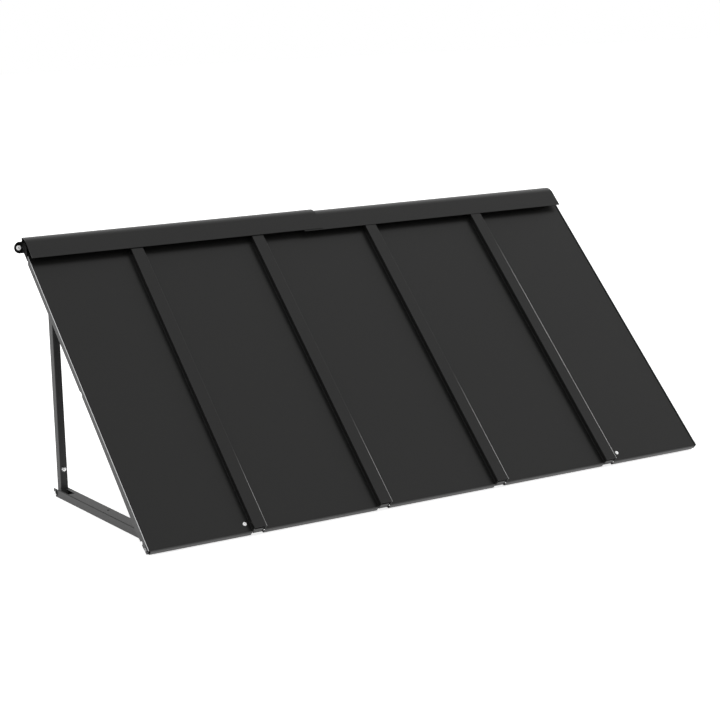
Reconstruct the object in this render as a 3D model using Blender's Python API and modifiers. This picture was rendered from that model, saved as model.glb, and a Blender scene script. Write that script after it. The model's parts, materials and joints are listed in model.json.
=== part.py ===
"""Metal door canopy: five folded tray panels with batten caps, two lapped top
flashings, a wall rail with round ears, and two bolted post-and-arm brackets.

Metres, +Z up. X runs along the wall, +Y points into the wall, and the wall face is y = 0.
The origin is the middle of the wall rail's back face.
Roof pieces are drawn in the slope's own axes: x along the wall, y up the slope
(so a place s metres down the slope is y = -s), z square to the sheets.
"""

import math
from collections import namedtuple

import bmesh
import bpy
from mathutils import Vector

# Roof
roof_width = 2.000            # over the two side rails
slope_angle = math.radians(45.0)
slope_length = 1.1195         # from the wall line of the sheet plane to the front folds
roof_rise = 0.022             # sheet plane above the wall rail's centre line, at the wall
first_bay = 0.3510            # left edge of the roof to the middle of the first batten
last_bay = 0.3665             # middle of the last batten to the right edge
panel_count = 5

# Sheets
panel_sheet = 0.0012
cap_sheet = 0.0012
channel_sheet = 0.0015
flashing_sheet = 0.0012
side_rail_sheet = 0.0020
frame_sheet = 0.0020          # wall rail, front rail and arms
post_wall = 0.0015
fit_gap = 0.0003              # clearance between pieces that touch

# Tray panels
panel_start = 0.028           # top end of the panels, down the slope
panel_flange = 0.0140         # upturned edge beside each batten
flange_stop = 0.0060          # the upturned edge ends this far short of the front fold
lip_height = 0.0200
lip_return = 0.0080           # bottom edge of the lip, turned back under
lip_clear = 0.0030            # the lip starts this far out from the upturned edge
side_lip_clear = 0.0040       # the same beside a side rail
side_edge_rise = 0.0015       # the edge beside a side rail ends this far above the rail's bend
panel_fold = 0.0030           # bend at the front lip
side_fold = 0.0018            # bend at the panel's sides

# Batten caps and the joint channels inside them
cap_width = 0.0412
cap_height = 0.0190
cap_start = 0.030
cap_overhang = 0.0006         # past the front fold
cap_foot = 0.0010             # the cap's legs stop this far above the sheet
cap_fold = 0.0018
foot_width = 0.0290           # the channel's feet, under the panel edges
channel_fold = 0.0021
channel_clear = 0.0012        # between the channel's sides and the panels' upturned edges
channel_drop = 0.0030         # between the channel's top and the cap
tab_setback = 0.0015          # front tab behind the cap's end
tab_drop = 0.0120             # front tab below the sheet plane

# Side rails
rail_rim = 0.0026             # rim above the sheet
rail_depth = 0.0160           # underside below the sheet plane, over the upper half
rail_swell = ((0.480, 0.0006), (0.375, 0.0017), (0.236, 0.0036), (0.135, 0.0060), (0.072, 0.0085),
              (0.056, 0.0058), (0.024, 0.0042), (0.000, 0.0004))   # up from the front end, added depth
rail_foot = 0.0160
rail_groove = 0.0014          # between the rail and the end panel
rail_fold = 0.0030
drain_radius = 0.0110         # shallow notch in the rail's lower edge
drain_drop = 0.0065           # its centre below that edge
drain_place = 0.568           # down the slope
mouth_radius = 0.0065         # open notch near the front
mouth_drop = 0.0185           # centre of its round end below the sheet plane
mouth_up = 0.0395             # up from the front end

# Wall rail
ear_height = 0.036            # the plate against the wall, round at both ends
ear_overhang = 0.004          # the ear's centre beyond the side of the roof
ear_screw_out = 0.0045        # the ear's screw beyond the ear's centre
cheek_reach = 0.044           # side cheeks, out from the wall
cheek_top = 0.018             # upper edge of a cheek above the sheet plane
cheek_under = 0.011           # lower edge of a cheek below the sheet plane
cheek_gap = 0.004             # from a cheek to the top end of the side rail
wall_flange_reach = 0.030     # sloping flange under the channel feet
frame_fold = 0.0030
frame_end_clear = 0.0165      # both cross rails end this far in from the roof's sides

# Front rail
front_rail_setback = 0.016    # bend up the slope from the front fold
front_flange_length = 0.036   # sloping flange
front_shelf = 0.046           # level flange that lies on the arms

# Brackets
bracket_inset = 0.082         # middle of an arm to the side of the roof
post_width = 0.024
post_depth = 0.027
post_fold = 0.0020
post_foot_drop = 0.0065       # foot of the post below the pivot bolt
arm_width = 0.040
arm_height = 0.025
arm_front_clear = 0.012       # front end of the arms behind the front rail's bend
arm_fold = 0.0030
arm_pocket_clear = 0.010      # the pocket for the post runs this far past the post
arm_slot_width = 0.020
arm_slot_length = 0.105       # end of the slot, out from the wall
arm_slot_side = 0.0040        # edge of the slot to the arm's outer side
arm_corner_cut = 0.015
arm_hole_place = 0.351
arm_hole_inset = 0.0230       # hole to the arm's outer side
arm_hole_radius = 0.0045
pivot_drop = 0.0130           # pivot bolt below the arm's top face
pivot_out = 0.018             # pivot bolt out from the wall

# Flashing
flashing_clear = 0.0015       # outer face of the lower piece above the batten caps
flashing_reach = 0.0935       # lower edge, down the slope
flashing_top = 0.0250         # top face above the wall rail's centre line
flashing_leg = 0.0240         # leg behind, down in front of the wall rail
flashing_end_clear = 0.003    # short of the roof's side
flashing_seam = 0.0225        # right end of the left piece, past the middle of the roof
flashing_lap = 0.070
flashing_lap_rise = 0.005     # the left piece sits this much higher up the slope
flashing_fold = 0.0130
flashing_back_fold = 0.0020

# Fasteners
Fastener = namedtuple("Fastener", "head height socket shank")   # three are radii
wall_screw = Fastener(0.0075, 0.0040, 0.0026, 0.0030)
panel_screw = Fastener(0.0058, 0.0032, 0.0016, 0.0020)
frame_screw = Fastener(0.0045, 0.0026, 0.0014, 0.0018)
rail_rivet = Fastener(0.0032, 0.0010, 0.0010, 0.0016)
rail_screw = Fastener(0.0056, 0.0026, 0.0018, 0.0020)
pivot_bolt = Fastener(0.0068, 0.0048, 0.0030, 0.0030)
arm_bolt = Fastener(0.0066, 0.0042, 0.0024, 0.0030)
hole_gap = 0.0003
socket_share = 0.55           # socket depth, of the head's height
shoulder_share = 0.85         # head height halfway out
skirt_share = 0.40            # head height at its rim
nut_size = 0.0058             # half of the nut across its corners
nut_height = 0.0050
spacer_radius = 0.0055
washer_radius = 0.0090        # under the pivot bolt's head
rail_washer_radius = 0.0084
washer_height = 0.0012
post_screw_up = 0.062         # lower wall screw above the arm's top
post_screw_down = 0.060       # upper wall screw below the post's head
panel_screw_left = 0.0154     # panel screw from the side of its batten cap
panel_screw_right = 0.0249
panel_screw_up = 0.0270       # panel screw up from the front fold
arm_bolt_inset = 0.024        # arm bolt from the arm's front end
rail_rivet_drop = 0.0072      # side rail's rivet below the sheet plane
rail_rivet_place = 0.135      # and down the slope
rail_screw_drop = 0.0055      # side rail's front screw below the sheet plane
rail_screw_up = 0.0105        # and up from the front folds
rivet_inset = 0.450           # flashing rivets from the sides of the roof
flashing_rivet_drop = 0.017   # flashing rivets below the flashing's top

half_width = roof_width / 2
turn_steps = 12
tiny = 0.00001                # smaller than any size here
sin_slope = math.sin(slope_angle)
cos_slope = math.cos(slope_angle)

matte_charcoal = (0.012, 0.012, 0.011)
frame_charcoal = (0.028, 0.028, 0.028)
ear_black = (0.006, 0.006, 0.006)
zinc = (0.780, 0.780, 0.770)


def start_clean():
    for thing in list(bpy.data.objects):
        bpy.data.objects.remove(thing, do_unlink=True)


def new_collection(name):
    group = bpy.data.collections.new(name)
    bpy.context.scene.collection.children.link(group)
    return group


def finish_for(name, colour, roughness, metallic):
    """One Principled material for one piece."""
    finish = bpy.data.materials.new(name + "_finish")
    finish.use_nodes = True
    shader = finish.node_tree.nodes["Principled BSDF"]
    shader.inputs["Base Color"].default_value = (*colour, 1.0)
    shader.inputs["Roughness"].default_value = roughness
    shader.inputs["Metallic"].default_value = metallic
    finish.diffuse_color = (*colour, 1.0)
    return finish


def powder_coat(name, colour=matte_charcoal, roughness=0.45):
    return finish_for(name, colour, roughness, 0.0)


def zinc_plate(name):
    return finish_for(name, zinc, 0.25, 1.0)


def rubber(name):
    return finish_for(name, ear_black, 0.70, 0.0)


def add_piece(name, bm, finish, parent=None):
    """Put a bmesh in the scene as one named piece of the canopy."""
    mesh = bpy.data.meshes.new(name)
    bm.to_mesh(mesh)
    bm.free()
    mesh.materials.append(finish)
    piece = bpy.data.objects.new(name, mesh)
    canopy.objects.link(piece)
    piece.parent = parent
    return piece


def add_fold(piece, radius, segments=3):
    fold = piece.modifiers.new("fold", "BEVEL")
    fold.width = radius
    fold.segments = segments
    fold.limit_method = "WEIGHT"
    return fold


def add_sheet(piece, thickness, offset):
    sheet = piece.modifiers.new("sheet", "SOLIDIFY")
    sheet.thickness = thickness
    sheet.offset = offset
    sheet.use_even_offset = True
    return sheet


def cut(piece, cutter, operation="DIFFERENCE"):
    """Cut one piece with a hidden cutter, or join the cutter's shape to it."""
    boolean = piece.modifiers.new(cutter.name, "BOOLEAN")
    boolean.operation = operation
    boolean.solver = "EXACT"
    boolean.object = cutter
    return boolean


def hide_cutter(cutter, parent=None):
    for group in list(cutter.users_collection):
        group.objects.unlink(cutter)
    cutters.objects.link(cutter)
    cutter.hide_render = True
    cutter.display_type = "WIRE"
    cutter.parent = parent
    return cutter


def box_cutter(name, low, high, parent=None):
    bm = bmesh.new()
    bmesh.ops.create_cube(bm, size=1.0)
    size = Vector(high) - Vector(low)
    middle = (Vector(high) + Vector(low)) / 2
    bmesh.ops.scale(bm, vec=size, verts=bm.verts)
    bmesh.ops.translate(bm, vec=middle, verts=bm.verts)
    mesh = bpy.data.meshes.new(name)
    bm.to_mesh(mesh)
    bm.free()
    return hide_cutter(bpy.data.objects.new(name, mesh), parent)


def plate_cutter(name, outline, step, parent=None):
    """A flat outline pulled along step."""
    bm = bmesh.new()
    thicken(bm, bm.faces.new([bm.verts.new(point) for point in outline]), step)
    mesh = bpy.data.meshes.new(name)
    bm.to_mesh(mesh)
    bm.free()
    return hide_cutter(bpy.data.objects.new(name, mesh), parent)


def hole_cutter(name, radius, length, place, turn, parent=None):
    """A round cutter along its own z, turned and placed."""
    bm = bmesh.new()
    bmesh.ops.create_cone(bm, cap_ends=True, segments=turn_steps, radius1=radius, radius2=radius,
                          depth=length)
    mesh = bpy.data.meshes.new(name)
    bm.to_mesh(mesh)
    bm.free()
    cutter = hide_cutter(bpy.data.objects.new(name, mesh), parent)
    cutter.location = place
    cutter.rotation_euler = turn
    return cutter


def draw_profile(bm, points):
    """Edges joined end to end through the points. Returns the edges."""
    corners = [bm.verts.new(point) for point in points]
    return [bm.edges.new(pair) for pair in zip(corners[:-1], corners[1:])]


def extrude_edges(bm, edges, step):
    """Pull edges into faces along step. Returns the new far edges."""
    pulled = bmesh.ops.extrude_edge_only(bm, edges=edges)["geom"]
    corners = {part for part in pulled if isinstance(part, bmesh.types.BMVert)}
    bmesh.ops.translate(bm, vec=Vector(step), verts=list(corners))
    return [part for part in pulled if isinstance(part, bmesh.types.BMEdge)
            and all(corner in corners for corner in part.verts)]


def thicken(bm, face, step):
    """Turn one flat face into a closed plate."""
    pulled = bmesh.ops.extrude_face_region(bm, geom=[face])["geom"]
    corners = [part for part in pulled if isinstance(part, bmesh.types.BMVert)]
    bmesh.ops.translate(bm, vec=Vector(step), verts=corners)
    bmesh.ops.recalc_face_normals(bm, faces=bm.faces)


def edge_span(edge):
    """How far an edge goes along each axis."""
    first, second = (corner.co for corner in edge.verts)
    return Vector([abs(a - b) for a, b in zip(first, second)])


def weigh_folds(bm, weight_of):
    """Give each edge between two faces at an angle the weight of its bend."""
    layer = bm.edges.layers.float.new("bevel_weight_edge")
    for edge in bm.edges:
        if len(edge.link_faces) == 2 and edge.calc_face_angle() > math.radians(10):
            edge[layer] = weight_of(edge)


def face_up(bm, direction, above=None):
    """Turn all normals so that the largest face, or the largest at that height, looks along direction."""
    bmesh.ops.recalc_face_normals(bm, faces=bm.faces)
    faces = [face for face in bm.faces if above is None or face.calc_center_median().z > above - tiny]
    largest = max(faces, key=lambda face: face.calc_area())
    largest.normal_update()
    if largest.normal.dot(Vector(direction)) < 0:
        bmesh.ops.reverse_faces(bm, faces=bm.faces)


def folded_strip(name, profile, step, up, thickness, fold, finish, parent=None):
    """A sheet of one section: the profile is its outer face, pulled along step."""
    bm = bmesh.new()
    extrude_edges(bm, draw_profile(bm, profile), step)
    weigh_folds(bm, lambda edge: 1.0)
    face_up(bm, up)
    piece = add_piece(name, bm, finish, parent)
    add_fold(piece, fold)
    add_sheet(piece, thickness, -1.0)
    return piece


# Half widths inside a batten, from the cap inwards
cap_half = cap_width / 2
flange_face = cap_half - cap_sheet - fit_gap - panel_sheet
channel_half = flange_face - channel_clear
channel_top = cap_height - cap_sheet - channel_drop

# Heights under the sheet plane
foot_top = -panel_sheet - fit_gap
cross_rail_top = foot_top - channel_sheet - fit_gap
cross_rail_half = half_width - frame_end_clear

rail_front = fit_gap - slope_length      # front end of the side rails, on the slope's y


def slope_point(x, down, up):
    """World place of a point given on the slope: down the slope and up from the sheet plane."""
    return Vector((x, -down * cos_slope - up * sin_slope, roof_rise - down * sin_slope + up * cos_slope))


def out_on_slope(height, up):
    """World y where the plane `up` above the sheet plane is at a height z."""
    return ((height - roof_rise) * cos_slope - up) / sin_slope


def height_on_slope(y, up):
    """World z where the plane `up` above the sheet plane is at y."""
    return roof_rise + (y * sin_slope + up) / cos_slope


def down_slope(y, up):
    """Distance down the slope where the plane `up` above the sheet plane is at y."""
    return (-y - up * sin_slope) / cos_slope


# The wall rail's lower flange and the front rail's shelf, and the arms under that shelf
wall_shelf_top = frame_sheet - ear_height / 2
wall_bend = Vector((0, out_on_slope(wall_shelf_top, cross_rail_top), wall_shelf_top))
wall_bend_down = down_slope(wall_bend.y, cross_rail_top)
front_bend_down = slope_length - front_rail_setback
front_bend = slope_point(0, front_bend_down, cross_rail_top)
arm_top = front_bend.z - fit_gap
arm_low = arm_top - arm_height
arm_reach = -front_bend.y - arm_front_clear
pivot_height = arm_top - pivot_drop
post_head = -ear_height / 2 - fit_gap
post_screw_heights = {"lower": arm_top + post_screw_up, "upper": post_head - post_screw_down}


def batten_middles():
    pitch = (roof_width - first_bay - last_bay) / (panel_count - 2)
    return [first_bay - half_width + pitch * number for number in range(panel_count - 1)]


def arm_middle(side):
    return side * (half_width - bracket_inset)


def post_middle(side):
    """The post stands against the inner wall of its arm."""
    return arm_middle(side) - side * (arm_width / 2 - frame_sheet - fit_gap - post_width / 2)


def side_name(side):
    return "left" if side < 0 else "right"


def tray_panel(number):
    """A tray: flat sheet, upturned at a batten, turned down at a side rail, lipped in front."""
    middles = batten_middles()
    last = panel_count - 1
    rail_side = half_width - side_rail_sheet - rail_groove - panel_sheet
    left = -rail_side if number == 0 else middles[number - 1] + flange_face
    right = rail_side if number == last else middles[number] - flange_face
    down = max(rail_fold, side_rail_sheet + fit_gap) + side_edge_rise - rail_depth
    left_edge = down if number == 0 else panel_flange
    right_edge = down if number == last else panel_flange
    left_lip = left + (side_lip_clear if number == 0 else lip_clear)
    right_lip = right - (side_lip_clear if number == last else lip_clear)
    under = -panel_sheet

    bm = bmesh.new()
    section = [(left, left_edge), (left, under), (left_lip, under), (right_lip, under),
               (right, under), (right, right_edge)]
    start = [(x, -panel_start, z) for x, z in section]
    edges = extrude_edges(bm, draw_profile(bm, start), (0, panel_start + flange_stop - slope_length, 0))
    flat = [edge for edge in edges if edge_span(edge).z < tiny]
    front = extrude_edges(bm, flat, (0, -flange_stop, 0))
    lip = [edge for edge in front
           if all(left_lip - tiny < corner.co.x < right_lip + tiny for corner in edge.verts)]
    lip_bottom = extrude_edges(bm, lip, (0, 0, panel_sheet - lip_height - under))
    extrude_edges(bm, lip_bottom, (0, lip_return, 0))
    side_weight = side_fold / panel_fold
    weigh_folds(bm, lambda edge: side_weight if edge_span(edge).y > tiny and
                abs(edge.verts[0].co.x) < rail_side - tiny else 1.0)
    face_up(bm, (0, 0, 1))
    name = f"tray_panel_{number + 1}"
    piece = add_piece(name, bm, powder_coat(name), slope)
    add_fold(piece, panel_fold)
    add_sheet(piece, panel_sheet, 1.0)
    return piece


def batten_cap(number, middle):
    name = f"batten_cap_{number + 1}"
    section = [(-cap_half, cap_foot), (-cap_half, cap_height), (cap_half, cap_height), (cap_half, cap_foot)]
    profile = [(middle + x, -cap_start, z) for x, z in section]
    step = (0, cap_start - slope_length - cap_overhang, 0)
    return folded_strip(name, profile, step, (0, 0, 1), cap_sheet, cap_fold, powder_coat(name), slope)


def joint_channel(number, middle):
    """A hat section under each batten: feet below the panels, web under the cap, tab in front."""
    name = f"joint_channel_{number + 1}"
    foot = channel_half + foot_width
    section = [(-foot, foot_top), (-channel_half, foot_top), (-channel_half, channel_top),
               (channel_half, channel_top), (channel_half, foot_top), (foot, foot_top)]
    bm = bmesh.new()
    start = [(middle + x, -panel_start, z) for x, z in section]
    edges = extrude_edges(bm, draw_profile(bm, start), (0, panel_start + flange_stop - slope_length, 0))
    web = [edge for edge in edges if all(corner.co.z > channel_top - tiny for corner in edge.verts)]
    web_end = extrude_edges(bm, web, (0, tab_setback - flange_stop, 0))
    extrude_edges(bm, web_end, (0, 0, -channel_top - tab_drop))
    weigh_folds(bm, lambda edge: 1.0)
    face_up(bm, (0, 0, 1), channel_top)
    piece = add_piece(name, bm, powder_coat(name, frame_charcoal), slope)
    add_fold(piece, channel_fold)
    add_sheet(piece, channel_sheet, -1.0)
    return piece


def mouth_cutter(name, side):
    """An upright notch with a round end, open below, through the rail's web and foot."""
    x = side * (half_width + rail_foot)
    middle = rail_front + mouth_up
    outline = [(x, middle - mouth_radius, -3 * mouth_drop), (x, middle + mouth_radius, -3 * mouth_drop)]
    for step in range(turn_steps + 1):
        angle = math.pi * step / turn_steps
        outline.append((x, middle + mouth_radius * math.cos(angle),
                        mouth_radius * math.sin(angle) - mouth_drop))
    return plate_cutter(name, outline, (-side * 4 * rail_foot, 0, 0), slope)


def side_rail(side):
    """An angle on the roof's side: web outside, rim above the sheet, foot under the panel's edge."""
    name = "side_rail_" + side_name(side)
    web = side * half_width
    inner = web - side * rail_foot
    places = [(0.0, 0.0)] + [(rail_front + up, added) for up, added in rail_swell]
    bm = bmesh.new()
    rows = []
    for y, added in places:
        low = -rail_depth - added
        rows.append([bm.verts.new(point) for point in ((web, y, rail_rim), (web, y, low), (inner, y, low))])
    for upper, lower in zip(rows[:-1], rows[1:]):
        for near, far in ((0, 1), (1, 2)):
            bm.faces.new((upper[near], upper[far], lower[far], lower[near]))
    weigh_folds(bm, lambda edge: 1.0 if edge_span(edge).x < tiny else 0.0)
    face_up(bm, (side, 0, 0))
    piece = add_piece(name, bm, powder_coat(name, frame_charcoal), slope)
    add_fold(piece, rail_fold)
    add_sheet(piece, side_rail_sheet, -1.0)
    end = cheek_reach + cheek_gap
    cut(piece, box_cutter(name + "_top_end", (web - end, -end, -2 * end), (web + end, end, end)))
    cut(piece, hole_cutter(name + "_drain", drain_radius, 4 * rail_foot,
                           (web, -drain_place, -rail_depth - drain_drop), (0, math.pi / 2, 0), slope))
    cut(piece, mouth_cutter(name + "_mouth", side))
    return piece


def add_cheek(rail, side):
    """A cheek folded forward from the wall plate, beside the top end of the side rail."""
    back = -frame_sheet / 2
    top = ear_height / 2 - frame_sheet
    low = wall_shelf_top
    outline = [(back, low), (back, top), (out_on_slope(top, cheek_top), top),
               (-cheek_reach, height_on_slope(-cheek_reach, cheek_top)),
               (-cheek_reach, height_on_slope(-cheek_reach, -cheek_under)),
               (out_on_slope(low, -cheek_under), low)]
    outer = side * half_width
    bm = bmesh.new()
    face = bm.faces.new([bm.verts.new((outer, y, z)) for y, z in outline])
    thicken(bm, face, (-side * frame_sheet, 0, 0))
    mesh = bpy.data.meshes.new("cheek")
    bm.to_mesh(mesh)
    bm.free()
    cheek = bpy.data.objects.new("cheek_" + side_name(side), mesh)
    cut(rail, hide_cutter(cheek), "UNION")


def wall_rail():
    """The plate on the wall with its round ears and cheeks, and a flange along the slope."""
    name = "wall_rail"
    radius = ear_height / 2
    outline = []
    for side in (1, -1):
        for step in range(turn_steps + 1):
            angle = math.pi * (step / turn_steps - 0.5)
            outline.append((side * (half_width + ear_overhang + radius * math.cos(angle)), 0,
                            side * radius * math.sin(angle)))
    bm = bmesh.new()
    thicken(bm, bm.faces.new([bm.verts.new(point) for point in outline]), (0, -frame_sheet, 0))
    piece = add_piece(name, bm, powder_coat(name, ear_black))

    tip = slope_point(0, wall_bend_down + wall_flange_reach, cross_rail_top)
    section = [(-frame_sheet / 2, wall_shelf_top), (wall_bend.y, wall_shelf_top), (tip.y, tip.z)]
    profile = [(-cross_rail_half, y, z) for y, z in section]
    flange = folded_strip(name + "_flange", profile, (2 * cross_rail_half, 0, 0), (0, 0, 1),
                          frame_sheet, frame_fold, powder_coat(name + "_flange"))
    cut(piece, hide_cutter(flange), "UNION")
    for side in (-1, 1):
        add_cheek(piece, side)
    return piece


def front_rail():
    """A folded rail under the channel feet, with a level shelf that lies on the arms."""
    name = "front_rail"
    upper = slope_point(0, front_bend_down - front_flange_length, cross_rail_top)
    section = [(upper.y, upper.z), (front_bend.y, front_bend.z), (front_bend.y + front_shelf, front_bend.z)]
    profile = [(-cross_rail_half, y, z) for y, z in section]
    return folded_strip(name, profile, (2 * cross_rail_half, 0, 0), (0, 0, -1), frame_sheet, frame_fold,
                        powder_coat(name, frame_charcoal))


def flashing(name, left, right, lift, rise, leg_left, leg_right):
    """A top flashing: face above the caps, round bend, level top and a leg down behind."""
    outer = cap_height + flashing_clear + lift
    lower = slope_point(0, flashing_reach - rise, outer)
    top = flashing_top + lift + rise * sin_slope
    leg_y = -frame_sheet - fit_gap
    section = [(lower.y, lower.z), (out_on_slope(top, outer), top), (leg_y, top)]
    stations = sorted({left, right, leg_left, leg_right})
    bm = bmesh.new()
    edges = draw_profile(bm, [(stations[0], y, z) for y, z in section])
    for start, end in zip(stations[:-1], stations[1:]):
        edges = extrude_edges(bm, edges, (end - start, 0, 0))
    backs = [edge for edge in bm.edges if all(
        abs(corner.co.y - leg_y) < tiny and leg_left - tiny < corner.co.x < leg_right + tiny
        for corner in edge.verts)]
    extrude_edges(bm, backs, (0, 0, flashing_top - flashing_leg - top))
    back_weight = flashing_back_fold / flashing_fold
    weigh_folds(bm, lambda edge: back_weight if edge.verts[0].co.y > leg_y - tiny else 1.0)
    face_up(bm, (0, -1, 1))
    piece = add_piece(name, bm, powder_coat(name))
    add_fold(piece, flashing_fold, 4)
    add_sheet(piece, flashing_sheet, -1.0)
    return piece


def post(side):
    """A rectangular tube that stands in the arm's pocket and reaches up under the wall rail."""
    name = "post_" + side_name(side)
    middle = post_middle(side)
    half = post_width / 2
    foot = pivot_height - post_foot_drop
    left = middle - half
    right = middle + half
    corners = [(left, -post_depth), (right, -post_depth), (right, 0), (left, 0)]
    bm = bmesh.new()
    base = [bm.verts.new((x, y, foot)) for x, y in corners]
    edges = [bm.edges.new(pair) for pair in zip(base, base[1:] + base[:1])]
    extrude_edges(bm, edges, (0, 0, post_head - foot))
    weigh_folds(bm, lambda edge: 1.0)
    bmesh.ops.recalc_face_normals(bm, faces=bm.faces)
    piece = add_piece(name, bm, powder_coat(name, frame_charcoal))
    add_fold(piece, post_fold, 2)
    add_sheet(piece, post_wall, -1.0)
    for label, height in post_screw_heights.items():
        cut(piece, hole_cutter(f"{name}_{label}_hole", wall_screw.shank + hole_gap, 3 * post_depth,
                               (middle, -post_depth / 2, height), (math.pi / 2, 0, 0)))
    cut(piece, pivot_hole(side, name))
    cut(piece, corner_cutter(side, name))
    return piece


def pivot_hole(side, name):
    return hole_cutter(name + "_pivot_hole", pivot_bolt.shank + hole_gap, 3 * arm_width,
                       (arm_middle(side), -pivot_out, pivot_height), (0, math.pi / 2, 0))


def corner_cutter(side, name):
    """Takes the lower rear corner off an arm and off the post's foot in it."""
    size = arm_height + arm_corner_cut
    cutter = box_cutter(name + "_corner", (-arm_width, -size, -size), (arm_width, size, 0))
    cutter.location = (arm_middle(side), -arm_corner_cut, arm_low)
    cutter.rotation_euler = (math.radians(45), 0, 0)
    return cutter


def arm(side):
    """A channel, open below, with a pocket and a slot for the post and two holes in its top."""
    name = "arm_" + side_name(side)
    middle = arm_middle(side)
    half = arm_width / 2
    left = middle - half
    right = middle + half
    section = [(left, arm_low), (left, arm_top), (right, arm_top), (right, arm_low)]
    profile = [(x, -arm_reach, z) for x, z in section]
    piece = folded_strip(name, profile, (0, arm_reach, 0), (0, 0, 1), frame_sheet, arm_fold,
                         powder_coat(name, frame_charcoal))
    above = arm_top + arm_height
    below = arm_top - 2 * frame_sheet
    pocket_half = half - frame_sheet + fit_gap
    cut(piece, box_cutter(name + "_pocket", (middle - pocket_half, -post_depth - arm_pocket_clear, below),
                          (middle + pocket_half, arm_height, above)))
    outer = middle + side * (half - arm_slot_side)
    inner = outer - side * arm_slot_width
    cut(piece, box_cutter(name + "_slot", (min(outer, inner), -arm_slot_length, below),
                          (max(outer, inner), -post_depth, above)))
    holes = (("top_hole", middle + side * (half - arm_hole_inset), arm_hole_place, arm_hole_radius),
             ("bolt_hole", middle, arm_reach - arm_bolt_inset, arm_bolt.shank + hole_gap))
    for label, x, out, radius in holes:
        cut(piece, hole_cutter(f"{name}_{label}", radius, 4 * frame_sheet, (x, -out, arm_top), (0, 0, 0)))
    cut(piece, pivot_hole(side, name))
    cut(piece, corner_cutter(side, name))
    return piece


def turned(name, outline, finish, place, turn, parent=None):
    """A turned piece: the outline runs down its outer side and is spun about z."""
    bm = bmesh.new()
    draw_profile(bm, [(radius, 0, height) for radius, height in outline])
    piece = add_piece(name, bm, finish, parent)
    spin = piece.modifiers.new("spin", "SCREW")
    spin.axis = "Z"
    spin.angle = math.radians(360)
    spin.steps = turn_steps
    spin.render_steps = turn_steps
    spin.use_merge_vertices = True
    spin.merge_threshold = 0.00001
    spin.use_smooth_shade = True
    piece.location = place
    piece.rotation_euler = turn
    return piece


def screw(name, size, grip, place, turn, parent=None, finish=None):
    """A round-headed screw with a socket. Its seat is at z = 0 and the shank runs down to -grip."""
    floor = size.height * (1 - socket_share)
    shoulder = (size.socket + size.head) / 2
    outline = [(0, floor), (size.socket, floor), (size.socket, size.height),
               (shoulder, size.height * shoulder_share), (size.head, size.height * skirt_share),
               (size.head, 0), (size.shank, 0), (size.shank, -grip), (0, -grip)]
    return turned(name, outline, finish or zinc_plate(name), place, turn, parent)


def collar(name, inner, outer, length, finish, place, turn, parent=None):
    half = length / 2
    outline = [(inner, half), (outer, half), (outer, -half), (inner, -half), (inner, half)]
    return turned(name, outline, finish, place, turn, parent)


def nut(name, size, place, turn):
    bm = bmesh.new()
    bmesh.ops.create_cone(bm, cap_ends=True, segments=6, radius1=nut_size, radius2=nut_size, depth=nut_height)
    piece = add_piece(name, bm, zinc_plate(name))
    piece.location = place
    piece.rotation_euler = turn
    cut(piece, hole_cutter(name + "_bore", size.shank + hole_gap, 3 * nut_height, place, turn))
    return piece


def pivot(side):
    """Bolt, washer, spacer and nut that hold a post's foot in its arm."""
    label = side_name(side)
    outward = (0, side * math.pi / 2, 0)
    middle = arm_middle(side)
    half = arm_width / 2

    def at(x):
        return (x, -pivot_out, pivot_height)

    bore = pivot_bolt.shank + hole_gap
    washer_out = half + fit_gap + washer_height / 2
    seat_out = half + 2 * fit_gap + washer_height
    grip = seat_out + half + fit_gap + nut_height
    screw(f"pivot_bolt_{label}", pivot_bolt, grip, at(middle + side * seat_out), outward)
    collar(f"pivot_washer_{label}", bore, washer_radius, washer_height, rubber(f"pivot_washer_{label}"),
         at(middle + side * washer_out), outward)
    nut(f"pivot_nut_{label}", pivot_bolt, at(middle - side * (half + fit_gap + nut_height / 2)), outward)
    outer_wall = middle + side * (half - frame_sheet - fit_gap)
    post_face = post_middle(side) + side * (post_width / 2 + fit_gap)
    name = f"pivot_spacer_{label}"
    collar(name, bore, spacer_radius, abs(outer_wall - post_face), zinc_plate(name),
         at((outer_wall + post_face) / 2), outward)


def arm_bolt_and_nut(side, rail):
    """Holds the front rail's shelf on an arm."""
    label = side_name(side)
    place = Vector((arm_middle(side), arm_bolt_inset - arm_reach, arm_top))
    seat = fit_gap + frame_sheet + fit_gap
    grip = seat + frame_sheet + fit_gap + nut_height
    cut(rail, hole_cutter(f"shelf_hole_{label}", arm_bolt.shank + hole_gap, 6 * frame_sheet,
                          place, (0, 0, 0)))
    screw(f"arm_bolt_{label}", arm_bolt, grip, place + Vector((0, 0, seat)), (0, 0, 0))
    under = frame_sheet + fit_gap + nut_height / 2
    nut(f"arm_nut_{label}", arm_bolt, place - Vector((0, 0, under)), (0, 0, 0))


def wall_screws(side, rail):
    """Two screws through a post and one through the ear of the wall rail."""
    label = side_name(side)
    facing_out = (math.pi / 2, 0, 0)
    for place, height in post_screw_heights.items():
        screw(f"post_screw_{label}_{place}", wall_screw, post_depth + fit_gap,
              (post_middle(side), -post_depth - fit_gap, height), facing_out)
    x = side * (half_width + ear_overhang + ear_screw_out)
    cut(rail, hole_cutter(f"ear_hole_{label}", wall_screw.shank + hole_gap, 4 * frame_sheet,
                          (x, 0, 0), facing_out))
    screw(f"ear_screw_{label}", wall_screw, frame_sheet + fit_gap, (x, -frame_sheet - fit_gap, 0), facing_out)


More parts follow.
